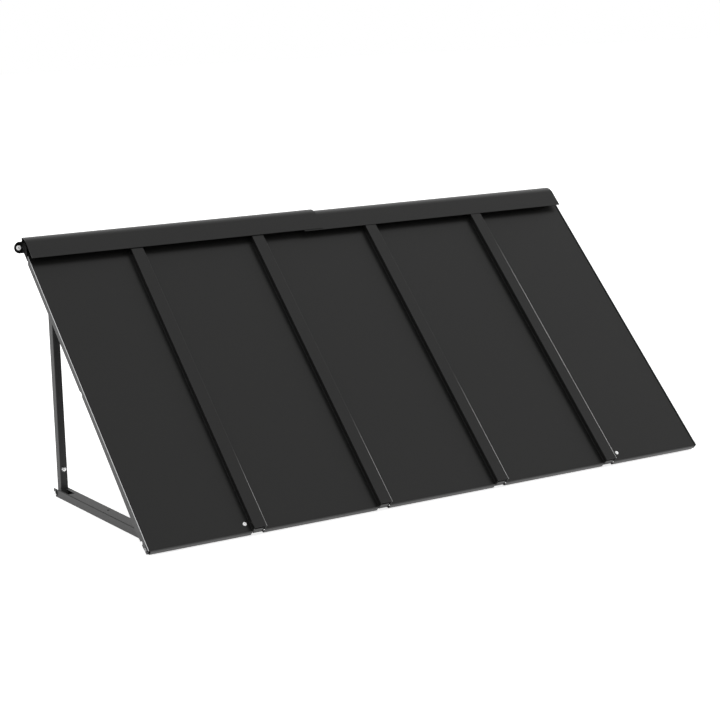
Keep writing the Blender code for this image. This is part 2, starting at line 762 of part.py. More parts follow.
def panel_screws(panels, channels, rail):
    """One screw at the front of each end panel, through the channel's foot and the front rail."""
    middles = batten_middles()
    down = slope_length - panel_screw_up
    grip = fit_gap - cross_rail_top + frame_sheet + fit_gap
    for side, x in ((-1, middles[0] - cap_half - panel_screw_left),
                    (1, middles[-1] + cap_half + panel_screw_right)):
        label = side_name(side)
        end = 0 if side < 0 else -1
        hole = hole_cutter(f"panel_screw_hole_{label}", panel_screw.shank + hole_gap, 6 * grip,
                           (x, -down, 0), (0, 0, 0), slope)
        for piece in (panels[end], channels[end], rail):
            cut(piece, hole)
        screw(f"panel_screw_{label}", panel_screw, grip, (x, -down, fit_gap), (0, 0, 0), slope)


def channel_screws(channels, upper_rail, lower_rail):
    """Screws from below that hold each channel's foot to the wall rail and to the front rail."""
    middles = batten_middles()
    upper_down = wall_bend_down + wall_flange_reach / 2
    lower_down = slope_length - panel_screw_up
    seat = cross_rail_top - frame_sheet - fit_gap
    grip = frame_sheet + channel_sheet + 2 * fit_gap
    for number, middle in enumerate(middles):
        way = 1 if number < len(middles) / 2 else -1
        for label, down, rail in (("upper", upper_down, upper_rail), ("lower", lower_down, lower_rail)):
            name = f"channel_screw_{number + 1}_{label}"
            place = (middle + way * (channel_half + foot_width / 2), -down, seat)
            hole = hole_cutter(name + "_hole", frame_screw.shank + hole_gap, 2 * grip + frame_sheet, place,
                               (0, 0, 0), slope)
            cut(rail, hole)
            cut(channels[number], hole)
            screw(name, frame_screw, grip, place, (math.pi, 0, 0), slope)


def side_rail_fixings(side, rail, panel):
    """A low rivet near the top and a washered screw at the front, through the rail and the panel."""
    label = side_name(side)
    outward = (0, side * math.pi / 2, 0)
    inside = side_rail_sheet + rail_groove + panel_sheet + fit_gap

    def fix(name, size, down, drop, under_head):
        face = side * (half_width + fit_gap)
        place = (face, -down, -drop)
        hole = hole_cutter(name + "_hole", size.shank + hole_gap, 4 * inside, place, outward, slope)
        cut(rail, hole)
        cut(panel, hole)
        seat = (face + side * under_head, -down, -drop)
        screw(name, size, inside + under_head, seat, outward, slope, powder_coat(name, frame_charcoal))
        return place

    fix(f"side_rail_rivet_{label}", rail_rivet, rail_rivet_place, rail_rivet_drop, 0)
    washer_name = f"side_rail_washer_{label}"
    place = fix(f"side_rail_screw_{label}", rail_screw, slope_length - rail_screw_up, rail_screw_drop,
                washer_height + fit_gap)
    middle = (place[0] + side * washer_height / 2, place[1], place[2])
    collar(washer_name, rail_screw.shank + hole_gap, rail_washer_radius, washer_height, rubber(washer_name),
         middle, outward, slope)


def flashing_rivets(left, right, rail):
    """Three rivets through the flashings' rear legs: one in each piece and one in the lap."""
    seat_y = -frame_sheet - fit_gap - flashing_sheet - fit_gap
    height = flashing_top - flashing_rivet_drop
    places = (("left", rivet_inset - half_width, left), ("lap", flashing_seam - flashing_lap / 2, right),
              ("right", half_width - rivet_inset, right))
    for label, x, piece in places:
        name = f"flashing_rivet_{label}"
        hole = hole_cutter(name + "_hole", frame_screw.shank + hole_gap, 6 * frame_sheet, (x, seat_y, height),
                           (math.pi / 2, 0, 0))
        cut(rail, hole)
        cut(piece, hole)
        screw(name, frame_screw, -seat_y, (x, seat_y, height), (math.pi / 2, 0, 0))


start_clean()
canopy = new_collection("metal_door_canopy")
cutters = new_collection("cutters")
slope = bpy.data.objects.new("roof_slope", None)
slope.location = (0, 0, roof_rise)
slope.rotation_euler = (slope_angle, 0, 0)
canopy.objects.link(slope)

panels = [tray_panel(number) for number in range(panel_count)]
for number, middle in enumerate(batten_middles()):
    batten_cap(number, middle)
channels = [joint_channel(number, middle) for number, middle in enumerate(batten_middles())]
upper_rail = wall_rail()
lower_rail = front_rail()
end = half_width - flashing_end_clear
lap_start = flashing_seam - flashing_lap
left_flashing = flashing("top_flashing_left", -end, flashing_seam, flashing_sheet + fit_gap,
                         flashing_lap_rise, -end, lap_start - fit_gap)
right_flashing = flashing("top_flashing_right", lap_start, end, 0, 0, lap_start, end)
for side, end_panel in ((-1, panels[0]), (1, panels[-1])):
    post(side)
    arm(side)
    pivot(side)
    arm_bolt_and_nut(side, lower_rail)
    wall_screws(side, upper_rail)
    side_rail_fixings(side, side_rail(side), end_panel)
panel_screws(panels, channels, lower_rail)
channel_screws(channels, upper_rail, lower_rail)
flashing_rivets(left_flashing, right_flashing, upper_rail)
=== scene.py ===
import json
import math

import bmesh
import bpy
from mathutils import Matrix, Vector


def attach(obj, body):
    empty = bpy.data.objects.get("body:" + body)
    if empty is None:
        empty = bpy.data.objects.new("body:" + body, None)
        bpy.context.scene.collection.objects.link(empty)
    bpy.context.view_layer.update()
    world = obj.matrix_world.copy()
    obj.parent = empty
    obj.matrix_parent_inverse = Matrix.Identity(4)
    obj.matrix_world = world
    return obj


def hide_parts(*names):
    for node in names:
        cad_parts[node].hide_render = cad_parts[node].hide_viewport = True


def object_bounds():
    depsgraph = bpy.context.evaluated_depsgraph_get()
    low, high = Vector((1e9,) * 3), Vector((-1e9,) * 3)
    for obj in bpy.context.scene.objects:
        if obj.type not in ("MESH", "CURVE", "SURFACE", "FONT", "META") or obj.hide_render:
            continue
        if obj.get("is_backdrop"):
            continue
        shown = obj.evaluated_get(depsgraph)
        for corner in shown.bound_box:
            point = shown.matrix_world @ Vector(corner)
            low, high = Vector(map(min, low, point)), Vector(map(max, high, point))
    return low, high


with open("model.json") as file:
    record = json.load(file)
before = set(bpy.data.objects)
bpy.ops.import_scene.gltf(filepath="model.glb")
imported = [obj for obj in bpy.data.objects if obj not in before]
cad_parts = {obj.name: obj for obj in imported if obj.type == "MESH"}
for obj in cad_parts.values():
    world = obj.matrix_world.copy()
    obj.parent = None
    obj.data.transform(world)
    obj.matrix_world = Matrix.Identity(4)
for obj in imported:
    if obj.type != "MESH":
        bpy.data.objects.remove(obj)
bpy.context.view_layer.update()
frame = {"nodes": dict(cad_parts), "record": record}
nodes = frame["nodes"]
print("frame loaded:", len(nodes), "pieces of metal")


# Camera, at the photograph's angle
cameraSet = {
    "place": (-3.24584, -5.53952, 0.75828),
    "yaw": -0.5567152933,        # radians, from +Y
    "pitch": 0.1751625885,       # looking down
    "roll": -0.0287862051,
    "focalPixels": 1956.73,
    "imagePixels": 720,
    "middlePixel": (360.13, 330.0),
}


def addCamera(s):
    yaw, pitch, roll = s["yaw"], s["pitch"], s["roll"]
    ahead = Vector((-math.sin(yaw) * math.cos(pitch), math.cos(yaw) * math.cos(pitch), -math.sin(pitch)))
    right = ahead.cross(Vector((0, 0, 1))).normalized()
    up = right.cross(ahead)
    across = math.cos(roll) * right + math.sin(roll) * up
    upright = math.cos(roll) * up - math.sin(roll) * right
    lens = bpy.data.cameras.new("camera")
    lens.sensor_width = 36.0
    lens.lens = s["focalPixels"] / s["imagePixels"] * lens.sensor_width
    middle = s["imagePixels"] / 2
    lens.shift_x = (s["middlePixel"][0] - middle) / s["imagePixels"]
    lens.shift_y = (s["middlePixel"][1] - middle) / s["imagePixels"]
    lens.clip_end = 100.0
    camera = bpy.data.objects.new("camera", lens)
    bpy.context.scene.collection.objects.link(camera)
    turn = Matrix((across, upright, -ahead)).transposed().to_4x4()
    camera.matrix_world = Matrix.Translation(s["place"]) @ turn
    bpy.context.scene.camera = camera


addCamera(cameraSet)
print("camera set")


# Helpers for node trees: an input takes a number, a colour or the socket that feeds it
def fill(tree, node, inputs):
    for name, value in inputs.items():
        if isinstance(value, bpy.types.NodeSocket):
            tree.links.new(value, node.inputs[name])
        else:
            node.inputs[name].default_value = value


def addNode(tree, kind, inputs=None, **settings):
    node = tree.nodes.new(kind)
    for name, value in settings.items():
        setattr(node, name, value)
    fill(tree, node, inputs or {})
    return node


def calculate(tree, operation, *values):
    return addNode(tree, "ShaderNodeMath", dict(enumerate(values)), operation=operation).outputs["Value"]


def blend(tree, share, first, second):
    return addNode(tree, "ShaderNodeMix", {"Factor": share, "A": first, "B": second},
                   data_type="RGBA").outputs["Result"]


def startGroup(name, inputs, outputs):
    group = bpy.data.node_groups.new(name, "ShaderNodeTree")
    for label, value in inputs.items():
        kind = "NodeSocketColor" if isinstance(value, tuple) else "NodeSocketFloat"
        socket = group.interface.new_socket(name=label, in_out="INPUT", socket_type=kind)
        socket.default_value = value
    for label, kind in outputs.items():
        group.interface.new_socket(name=label, in_out="OUTPUT", socket_type=kind)
    return group, group.nodes.new("NodeGroupInput").outputs, group.nodes.new("NodeGroupOutput")


def startFinish(name):
    finish = bpy.data.materials.new(name)
    finish.use_nodes = True
    return finish, finish.node_tree, finish.node_tree.nodes["Principled BSDF"]


def grey(level):
    return (level, level, level, 1.0)


white = grey(1.0)


# Powder coat: fine grain in colour, gloss and height, and a slow drift over a large sheet
def buildPowderGroup():
    group, given, out = startGroup("powderGrain", {
        "Colour": grey(0.03), "Drift Colour": grey(0.04), "Grain Scale": 900.0, "Grain Strength": 0.25,
        "Drift Scale": 2.0, "Roughness": 0.45, "Roughness Spread": 0.08,
    }, {"Colour": "NodeSocketColor", "Roughness": "NodeSocketFloat", "Height": "NodeSocketFloat"})
    place = addNode(group, "ShaderNodeTexCoord").outputs["Object"]
    grain = addNode(group, "ShaderNodeTexNoise", {"Vector": place, "Scale": given["Grain Scale"],
                                                  "Detail": 3.0, "Roughness": 0.6}).outputs["Fac"]
    drift = addNode(group, "ShaderNodeTexNoise", {"Vector": place, "Scale": given["Drift Scale"],
                                                  "Detail": 2.0}).outputs["Fac"]
    tint = blend(group, drift, given["Colour"], given["Drift Colour"])
    speck = addNode(group, "ShaderNodeMapRange", {
        "Value": grain, "To Min": calculate(group, "SUBTRACT", 1.0, given["Grain Strength"]),
        "To Max": calculate(group, "ADD", 1.0, given["Grain Strength"])})
    shade = addNode(group, "ShaderNodeVectorMath", {"Vector": tint, "Scale": speck.outputs["Result"]},
                    operation="SCALE")
    rough = calculate(group, "MULTIPLY_ADD", calculate(group, "SUBTRACT", grain, 0.5),
                      given["Roughness Spread"], given["Roughness"])
    fill(group, out, {"Colour": shade.outputs["Vector"], "Roughness": rough, "Height": grain})
    return group


powderGroup = buildPowderGroup()


def powderCoat(name, s):
    finish, tree, shader = startFinish(name)
    grain = addNode(tree, "ShaderNodeGroup", {
        "Colour": s["colour"], "Drift Colour": s["driftColour"], "Grain Scale": s["grainScale"],
        "Grain Strength": s["grainStrength"], "Drift Scale": s["driftScale"],
        "Roughness": s["roughness"], "Roughness Spread": s["roughnessSpread"],
    }, node_tree=powderGroup).outputs
    bump = addNode(tree, "ShaderNodeBump", {"Height": grain["Height"], "Strength": s["bumpStrength"],
                                            "Distance": s["bumpDepth"]}).outputs["Normal"]
    fill(tree, shader, {"Base Color": grain["Colour"], "Roughness": grain["Roughness"], "Normal": bump,
                        "Specular IOR Level": s["specular"]})
    return finish


powderSet = {
    "colour": (0.0052, 0.0052, 0.0049, 1.0), "driftColour": (0.0070, 0.0070, 0.0066, 1.0),
    "grainScale": 420.0, "grainStrength": 0.50, "driftScale": 1.6,
    "roughness": 0.33, "roughnessSpread": 0.08, "specular": 0.5,
    "bumpStrength": 0.20, "bumpDepth": 0.0002,
}


def greyCoat(name, dark, light, **changes):
    return powderCoat(name, {**powderSet, "colour": grey(dark), "driftColour": grey(light), **changes})


roofCoat = powderCoat("roofCoat", powderSet)
frameCoat = greyCoat("frameCoat", 0.025, 0.029, roughness=0.50)
earCoat = greyCoat("earCoat", 0.003, 0.004, roughness=0.60, specular=0.06)       # wall rail
paintedFoldShade = greyCoat("paintedFoldShade", 0.005, 0.006, roughness=0.42, specular=0.12)     # painted shade on the arms' top bends and on the caps' front ends
paintedDeepShade = greyCoat("paintedDeepShade", 0.002, 0.003, roughness=0.80, specular=0.05)     # painted shade: near black inside the arms and on the battens' front tabs
rubberCoat = greyCoat("sealRubber", 0.008, 0.010, roughness=0.70)


def zincPlate(name, s):
    finish, tree, shader = startFinish(name)
    place = addNode(tree, "ShaderNodeTexCoord").outputs["Object"]
    spots = addNode(tree, "ShaderNodeTexNoise", {"Vector": place, "Scale": s["spotScale"]}).outputs["Fac"]
    gloss = addNode(tree, "ShaderNodeMapRange", {"Value": spots, "To Min": s["roughness"][0],
                                                 "To Max": s["roughness"][1]}).outputs["Result"]
    fill(tree, shader, {"Base Color": blend(tree, spots, s["colour"], s["spotColour"]),
                        "Roughness": gloss, "Metallic": s["metallic"]})
    return finish


zincSet = {"colour": (0.97, 0.97, 0.96, 1.0), "spotColour": (0.88, 0.89, 0.90, 1.0), "spotScale": 700.0,
           "roughness": (0.16, 0.32), "metallic": 1.0}
zincCoat = zincPlate("zincPlate", zincSet)
brightCoat = zincPlate("brightPlate", {**zincSet, "colour": white, "spotColour": grey(0.96),
                                       "roughness": (0.40, 0.55), "metallic": 0.10})
dullPlate = zincPlate("dullPlate", {"colour": grey(0.34), "spotColour": (0.24, 0.24, 0.25, 1.0),
                                    "spotScale": 500.0, "roughness": (0.35, 0.50), "metallic": 0.60})
cutEdge = zincPlate("cutEdge", {"colour": grey(0.96), "spotColour": (0.72, 0.73, 0.74, 1.0),
                                "spotScale": 260.0, "roughness": (0.40, 0.60), "metallic": 0.6})


# Painted highlight along an edge, stronger towards the front of the roof
def buildHighlightGroup():
    group, given, out = startGroup("paintedHighlightEdge", {
        "Coat": grey(0.01), "Metal": grey(0.9), "Start": 0.3, "End": 1.0, "Most": 1.0,
        "Patch Scale": 30.0,
    }, {"Colour": "NodeSocketColor", "Metallic": "NodeSocketFloat"})
    place = addNode(group, "ShaderNodeTexCoord").outputs["Object"]
    inward = addNode(group, "ShaderNodeSeparateXYZ", {"Vector": place}).outputs["Y"]
    down = calculate(group, "MULTIPLY", inward, -math.sqrt(2))        # down the slope of 45 degrees
    fade = addNode(group, "ShaderNodeMapRange", {
        "Value": down, "From Min": given["Start"], "From Max": given["End"],
    }, interpolation_type="SMOOTHSTEP").outputs["Result"]
    patches = addNode(group, "ShaderNodeTexNoise", {"Vector": place, "Scale": given["Patch Scale"]})
    patch = addNode(group, "ShaderNodeMapRange", {"Value": patches.outputs["Fac"], "From Min": 0.25,
                                                  "From Max": 0.75, "To Min": 0.55}).outputs["Result"]
    mask = calculate(group, "MULTIPLY", calculate(group, "MULTIPLY", fade, patch), given["Most"])
    fill(group, out, {"Colour": blend(group, mask, given["Coat"], given["Metal"]), "Metallic": mask})
    return group


highlightGroup = buildHighlightGroup()
highlightSet = {"coat": grey(0.006), "metal": grey(0.95), "roughness": 0.35, "patchScale": 30.0}
# For each cap's painted highlight: where it starts and is full, down the slope, and the most there
highlightSpots = [(0.85, 1.08, 0.42), (0.80, 1.00, 0.45), (0.70, 1.00, 0.75), (0.20, 0.50, 1.0)]


def paintedHighlightEdge(name, start, end, most, s):
    finish, tree, shader = startFinish(name)
    bare = addNode(tree, "ShaderNodeGroup", {
        "Coat": s["coat"], "Metal": s["metal"], "Patch Scale": s["patchScale"],
        "Start": start, "End": end, "Most": most,
    }, node_tree=highlightGroup).outputs
    fill(tree, shader, {"Base Color": bare["Colour"], "Metallic": bare["Metallic"],
                        "Roughness": s["roughness"]})
    return finish


capHighlights = [paintedHighlightEdge(f"capHighlight{count + 1}", *spot, highlightSet) for count, spot in enumerate(highlightSpots)]
print("finishes made")

slotFinishes = {"charcoal_sheet": roofCoat, "charcoal_frame": frameCoat, "black_rail": earCoat,
                "zinc": zincCoat, "black_rubber": rubberCoat}
for part in frame["record"]["subparts"]:
    for holder in nodes[part["node"]].material_slots:
        holder.material = slotFinishes[part["material_slot"]]


# The roof in its own axes: x along the wall, y up the slope, z square to the sheets
roofSet = {
    "width": 2.000,              # over the side rails
    "slope": 45.0,               # degrees
    "length": 1.1195,            # wall line to the front folds
    "rise": 0.022,               # sheet plane above the wall rail's centre line, at the wall
    "firstBay": 0.3510,          # side of the roof to the middle of the first batten
    "lastBay": 0.3665,
    "panels": 5,
    "gap": 0.0003,               # between pieces that touch
    "bendSteps": 6,
    "edgeRound": 0.00018,        # rounding of every cut edge
}
gap = roofSet["gap"]
halfWidth = roofSet["width"] / 2
slopeLength = roofSet["length"]
slopeAngle = math.radians(roofSet["slope"])
sinSlope, cosSlope = math.sin(slopeAngle), math.cos(slopeAngle)
slopeTurn = Matrix.Translation((0, 0, roofSet["rise"])) @ Matrix.Rotation(slopeAngle, 4, "X")
toRoof = slopeTurn.inverted()
bayStep = (roofSet["width"] - roofSet["firstBay"] - roofSet["lastBay"]) / (roofSet["panels"] - 2)
battenPlaces = [roofSet["firstBay"] - halfWidth + bayStep * count
                for count in range(roofSet["panels"] - 1)]
sides = {"left": -1, "right": 1}
upright = Matrix.Identity(4)
near = 1e-5                      # lengths below this count as none


def alongRoof(x, y, z):          # a direction, from the roof's axes to the part's
    return slopeTurn.to_3x3() @ Vector((x, y, z))


def sideView(y, z):              # a point's y and z, from the roof's axes to the part's
    return (slopeTurn @ Vector((0, y, z))).yz


downRoof, outOfRoof = alongRoof(0, -1, 0), alongRoof(0, 0, 1)


# A plane along the roof, so far up from the sheets: y at a height, height at a y, and the way down at a y
def outOnSlope(height, up):
    return ((height - roofSet["rise"]) * cosSlope - up) / sinSlope


def heightOnSlope(y, up):
    return roofSet["rise"] + (y * sinSlope + up) / cosSlope


def downSlope(y, up):
    return (-y - up * sinSlope) / cosSlope


# Sheets start as a line of corners that is pulled along, edge by edge
def drawLine(bm, points):
    corners = [bm.verts.new(point) for point in points]
    return [bm.edges.new(pair) for pair in zip(corners[:-1], corners[1:])]


def pull(bm, edges, step):
    grown = bmesh.ops.extrude_edge_only(bm, edges=edges)["geom"]
    corners = {item for item in grown if isinstance(item, bmesh.types.BMVert)}
    bmesh.ops.translate(bm, vec=Vector(step), verts=list(corners))
    return [item for item in grown if isinstance(item, bmesh.types.BMEdge)
            and all(corner in corners for corner in item.verts)]


def span(edge, axis):
    return abs(edge.verts[0].co[axis] - edge.verts[1].co[axis])


def arc(radius, start, turn, steps):
    angles = [start + turn * step / steps for step in range(steps + 1)]
    return [(radius * math.cos(angle), radius * math.sin(angle)) for angle in angles]


def markFolds(bm, share=lambda edge: 1.0):
    layer = bm.edges.layers.float.new("bevel_weight_edge")
    for edge in bm.edges:
        if len(edge.link_faces) == 2 and edge.calc_face_angle() > math.radians(10):
            edge[layer] = share(edge)


def turnFaces(bm, direction, above=None):        # by the largest face, or the largest above a height
    bmesh.ops.recalc_face_normals(bm, faces=bm.faces)
    faces = [face for face in bm.faces if above is None or face.calc_center_median().z > above]
    largest = max(faces, key=lambda face: face.calc_area())
    largest.normal_update()
    if largest.normal.dot(Vector(direction)) < 0:
        bmesh.ops.reverse_faces(bm, faces=bm.faces)


def looseObject(name, bm, turn):
    bm.transform(turn)
    mesh = bpy.data.meshes.new(name)
    bm.to_mesh(mesh)
    bm.free()
    piece = bpy.data.objects.new(name, mesh)
    bpy.context.scene.collection.objects.link(piece)
    return piece


def boxTool(low, high, turn=upright):
    bm = bmesh.new()
    bmesh.ops.create_cube(bm, size=1.0)
    bmesh.ops.scale(bm, vec=Vector(high) - Vector(low), verts=bm.verts)
    bmesh.ops.translate(bm, vec=(Vector(high) + Vector(low)) / 2, verts=bm.verts)
    return looseObject("tool", bm, turn)


drillTurns = {"X": Matrix.Rotation(math.pi / 2, 4, "Y"), "Y": Matrix.Rotation(math.pi / 2, 4, "X"),
              "Z": upright}
deepDrill = 0.020                # drill length through the panels and channels


def drill(radius, place, length=0.012, axis="Z", turn=upright, corners=32):
    bm = bmesh.new()
    bmesh.ops.create_cone(bm, cap_ends=True, segments=corners, radius1=radius, radius2=radius,
                          depth=length)
    return looseObject("tool", bm, turn @ Matrix.Translation(place) @ drillTurns[axis])


def slab(outline, step, turn=upright):
    bm = bmesh.new()
    face = bm.faces.new([bm.verts.new(point) for point in outline])
    grown = bmesh.ops.extrude_face_region(bm, geom=[face])["geom"]
    corners = [item for item in grown if isinstance(item, bmesh.types.BMVert)]
    bmesh.ops.translate(bm, vec=Vector(step), verts=corners)
    bmesh.ops.recalc_face_normals(bm, faces=bm.faces)
    return looseObject("tool", bm, turn)


def addCut(piece, tool, kind="DIFFERENCE"):
    cut = piece.modifiers.new("cut", "BOOLEAN")
    cut.operation = kind
    cut.solver = "EXACT"
    cut.object = tool


def settle(piece, tools=(), rounding=roofSet["edgeRound"]):
    if rounding:
        edge = piece.modifiers.new("edges", "BEVEL")
        edge.width = rounding
        edge.segments = 2
        edge.limit_method = "ANGLE"
        edge.angle_limit = math.radians(40)
        edge.use_clamp_overlap = False
    piece.modifiers.new("shading", "WEIGHTED_NORMAL")
    for face in piece.data.polygons:
        face.use_smooth = True
    solid = piece.evaluated_get(bpy.context.evaluated_depsgraph_get())
    mesh = bpy.data.meshes.new_from_object(solid)
    piece.modifiers.clear()
    piece.data = mesh
    for tool in tools:
        bpy.data.objects.remove(tool, do_unlink=True)
    return piece


def dress(piece, finish, node, name=None):     # the piece for tray_panel_1 is named trayPanel1
    first, *others = node.split("_")
    piece.name = name or first + "".join(word.title() for word in others)
    piece.data.materials.clear()
    piece.data.materials.append(finish)
    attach(piece, "root")
    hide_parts(node)


def addFinish(piece, finish, test):
    piece.data.materials.append(finish)
    for face in piece.data.polygons:
        if test(face):
            face.material_index = len(piece.data.materials) - 1


# Bends, thickness, holes and rounded edges for an open sheet
def foldSheet(bm, sheet, bend, side=-1.0, turn=upright, tools=(), rounding=roofSet["edgeRound"]):
    piece = looseObject("piece", bm, turn)
    fold = piece.modifiers.new("bends", "BEVEL")
    fold.width = bend
    fold.segments = roofSet["bendSteps"]
    fold.limit_method = "WEIGHT"
    thick = piece.modifiers.new("sheet", "SOLIDIFY")
    thick.thickness = sheet
    thick.offset = side
    thick.use_even_offset = True
    for tool in tools:
        addCut(piece, tool)
    return settle(piece, tools, rounding)


# Tray panels, with the sizes of the caps, side rails and screws that they fit
panelSet = {
    "sheet": 0.0012,
    "start": 0.028,              # top end, down the slope
    "upturn": 0.0140,            # upturned edge beside a batten
    "upturnStop": 0.0060,        # that edge ends this far before the front fold
    "sideDrop": 0.0115,          # turned-down edge beside a side rail
    "lipHeight": 0.0220,
    "lipReturn": 0.0080,
    "lipClear": 0.0030,
    "sideLipClear": 0.0040,
    "frontBend": 0.0040,
    "sideBend": 0.0018,
    "screwUp": 0.0270,           # panel screws up from the front fold
    "screwSides": {"left": 0.0154, "right": 0.0249},     # and out from the side of their batten cap
}
capSet = {
    "sheet": 0.0012,
    "width": 0.0412,
    "height": 0.0190,
    "start": 0.030,
    "overhang": 0.0006,          # past the panels' front fold
    "foot": 0.0010,              # its lower edges above the panels
    "bend": 0.0018,
    "hem": 0.0016,               # turned out along those edges
    "hemBend": 0.0006,
    "highlightStrip": 0.0004,         # painted highlight from this far before the right bend, where the surface leans
    "highlightLean": 0.5,             # this far, in radians
    "brightSpread": 0.85,          # or about that, as a cosine
    "endSpread": 0.9,            # as a cosine, for the faces at the front end, which get painted shade
}
capHalf = capSet["width"] / 2
upturnFace = capHalf - capSet["sheet"] - gap - panelSet["sheet"]
sideRailSet = {
    "sheet": 0.0020,
    "rim": 0.0026,               # above the sheet plane
    "depth": 0.0160,             # underside below it, over the upper half
    "swell": ((0.480, 0.0006), (0.375, 0.0017), (0.236, 0.0036), (0.135, 0.0060), (0.072, 0.0085),
              (0.056, 0.0058), (0.024, 0.0042), (0.000, 0.0004)),    # up from the front, added depth
    "foot": 0.0160,
    "groove": 0.0014,            # to the end panel
    "bend": 0.0030,
    "notchRadius": 0.0110,
    "notchDrop": 0.0065,
    "notchPlace": 0.568,
    "mouthRadius": 0.0065,       # open notch near the front
    "mouthDrop": 0.0185,
    "mouthUp": 0.0395,
    "topEnd": 0.048,             # cut upright, this far out from the wall
    "fixings": {"railRivet": (0.135, 0.0072), "railScrew": (1.109, 0.0055)},    # down and below
    "washer": 0.0084,
    "bareRim": 0.0004,           # bare metal this far down from the rim's top
    "brightSpread": 0.6,           # on faces that look up, as a cosine
}
screwSizes = {                   # radii of head, socket and shank, and the head's height
    "wall": {"head": 0.0075, "height": 0.0040, "socket": 0.0026, "shank": 0.0030},
    "panel": {"head": 0.0058, "height": 0.0032, "socket": 0.0016, "shank": 0.0020},
    "frame": {"head": 0.0045, "height": 0.0026, "socket": 0.0014, "shank": 0.0018},
    "railRivet": {"head": 0.0032, "height": 0.0010, "socket": 0.0010, "shank": 0.0016},
    "railScrew": {"head": 0.0056, "height": 0.0026, "socket": 0.0018, "shank": 0.0020},
    "pivot": {"head": 0.0068, "height": 0.0048, "socket": 0.0030, "shank": 0.0030},
    "arm": {"head": 0.0066, "height": 0.0042, "socket": 0.0024, "shank": 0.0030},
}


def holeFor(size):
    return screwSizes[size]["shank"] + gap


def panelScrewPlace(side):
    batten = battenPlaces[0] if side == "left" else battenPlaces[-1]
    return batten + sides[side] * (capHalf + panelSet["screwSides"][side])


def roofDrill(size, x, y, up, length=0.012):
    return drill(holeFor(size), (x, y, up), length, turn=slopeTurn)


def panelScrewDrill(side, up, length=0.012):
    return roofDrill("panel", panelScrewPlace(side), panelSet["screwUp"] - slopeLength, up, length)


def railDrills(x, length=0.014):
    return [drill(holeFor(size), (x, -down, -drop), length, "X", slopeTurn)
            for size, (down, drop) in sideRailSet["fixings"].items()]


def endSide(count, pieces):      # the roof's side where an end piece lies, and None for the others
    return {0: "left", pieces - 1: "right"}.get(count)


def makePanel(count, s):
    end = endSide(count, roofSet["panels"])
    railSide = halfWidth - sideRailSet["sheet"] - sideRailSet["groove"] - s["sheet"]
    left = -railSide if end == "left" else battenPlaces[count - 1] + upturnFace
    right = railSide if end == "right" else battenPlaces[count] - upturnFace
    leftEdge, rightEdge = (-s["sideDrop"] if end == side else s["upturn"] for side in sides)
    leftClear, rightClear = (s["sideLipClear"] if end == side else s["lipClear"] for side in sides)
    leftLip, rightLip = left + leftClear, right - rightClear
    under = -s["sheet"]
    section = [(left, leftEdge), (left, under), (leftLip, under), (rightLip, under), (right, under),
               (right, rightEdge)]
    bm = bmesh.new()
    line = drawLine(bm, [(x, -s["start"], z) for x, z in section])
    edges = pull(bm, line, (0, s["start"] + s["upturnStop"] - slopeLength, 0))
    front = pull(bm, [edge for edge in edges if span(edge, 2) < near], (0, -s["upturnStop"], 0))
    lip = [edge for edge in front
           if all(leftLip - near < corner.co.x < rightLip + near for corner in edge.verts)]
    bottom = pull(bm, lip, (0, 0, s["sheet"] - s["lipHeight"] - under))
    pull(bm, bottom, (0, s["lipReturn"], 0))
    sideShare = s["sideBend"] / s["frontBend"]
    markFolds(bm, lambda edge: sideShare if span(edge, 1) > near else 1.0)
    turnFaces(bm, (0, 0, 1))
    tools = []
    if end:
        tools = [panelScrewDrill(end, 0, deepDrill), *railDrills(sides[end] * (halfWidth + gap))]
    piece = foldSheet(bm, s["sheet"], s["frontBend"], 1.0, slopeTurn, tools)
    dress(piece, roofCoat, f"tray_panel_{count + 1}")


for count in range(roofSet["panels"]):
    makePanel(count, panelSet)


# Batten caps
def makeStrip(section, step, up, sheet, bend, turn=upright, tools=(), rounding=roofSet["edgeRound"],
              share=lambda edge: 1.0):
    bm = bmesh.new()
    pull(bm, drawLine(bm, section), step)
    markFolds(bm, share)
    turnFaces(bm, up)
    return foldSheet(bm, sheet, bend, -1.0, turn, tools, rounding)


def makeCap(count, s):
    middle = battenPlaces[count]
    foot, hem = s["foot"] + s["sheet"], capHalf + s["hem"]
    highlightStart = capHalf - s["bend"] - s["highlightStrip"]
    section = [(-hem, foot), (-capHalf, foot), (-capHalf, s["height"]), (highlightStart, s["height"]),
               (capHalf, s["height"]), (capHalf, foot), (hem, foot)]
    hemShare = s["hemBend"] / s["bend"]
    piece = makeStrip([(middle + x, -s["start"], z) for x, z in section],
                      (0, s["start"] - slopeLength - s["overhang"], 0), (0, 0, 1), s["sheet"], s["bend"],
                      slopeTurn, share=lambda edge: hemShare if edge.verts[0].co.z < foot + near else 1.0)
    dress(piece, roofCoat, f"batten_cap_{count + 1}")
    # Painted highlight: a bright line on the right top bend of each cap, stronger towards the front
    leaning = alongRoof(math.sin(s["highlightLean"]), 0, math.cos(s["highlightLean"]))

    def inPaintedHighlight(face):
        spot = toRoof @ face.center
        return (face.normal.dot(leaning) > s["brightSpread"] and spot.z > s["height"] - s["bend"]
                and spot.x - middle > highlightStart)

    addFinish(piece, capHighlights[count], inPaintedHighlight)
    # Painted shade: the front end faces are made near black, standing in for the dark gap under the cap's
    # edge
    addFinish(piece, paintedFoldShade, lambda face: face.normal.dot(downRoof) > s["endSpread"])


for count in range(len(battenPlaces)):
    makeCap(count, capSet)
print("panels and batten caps made")


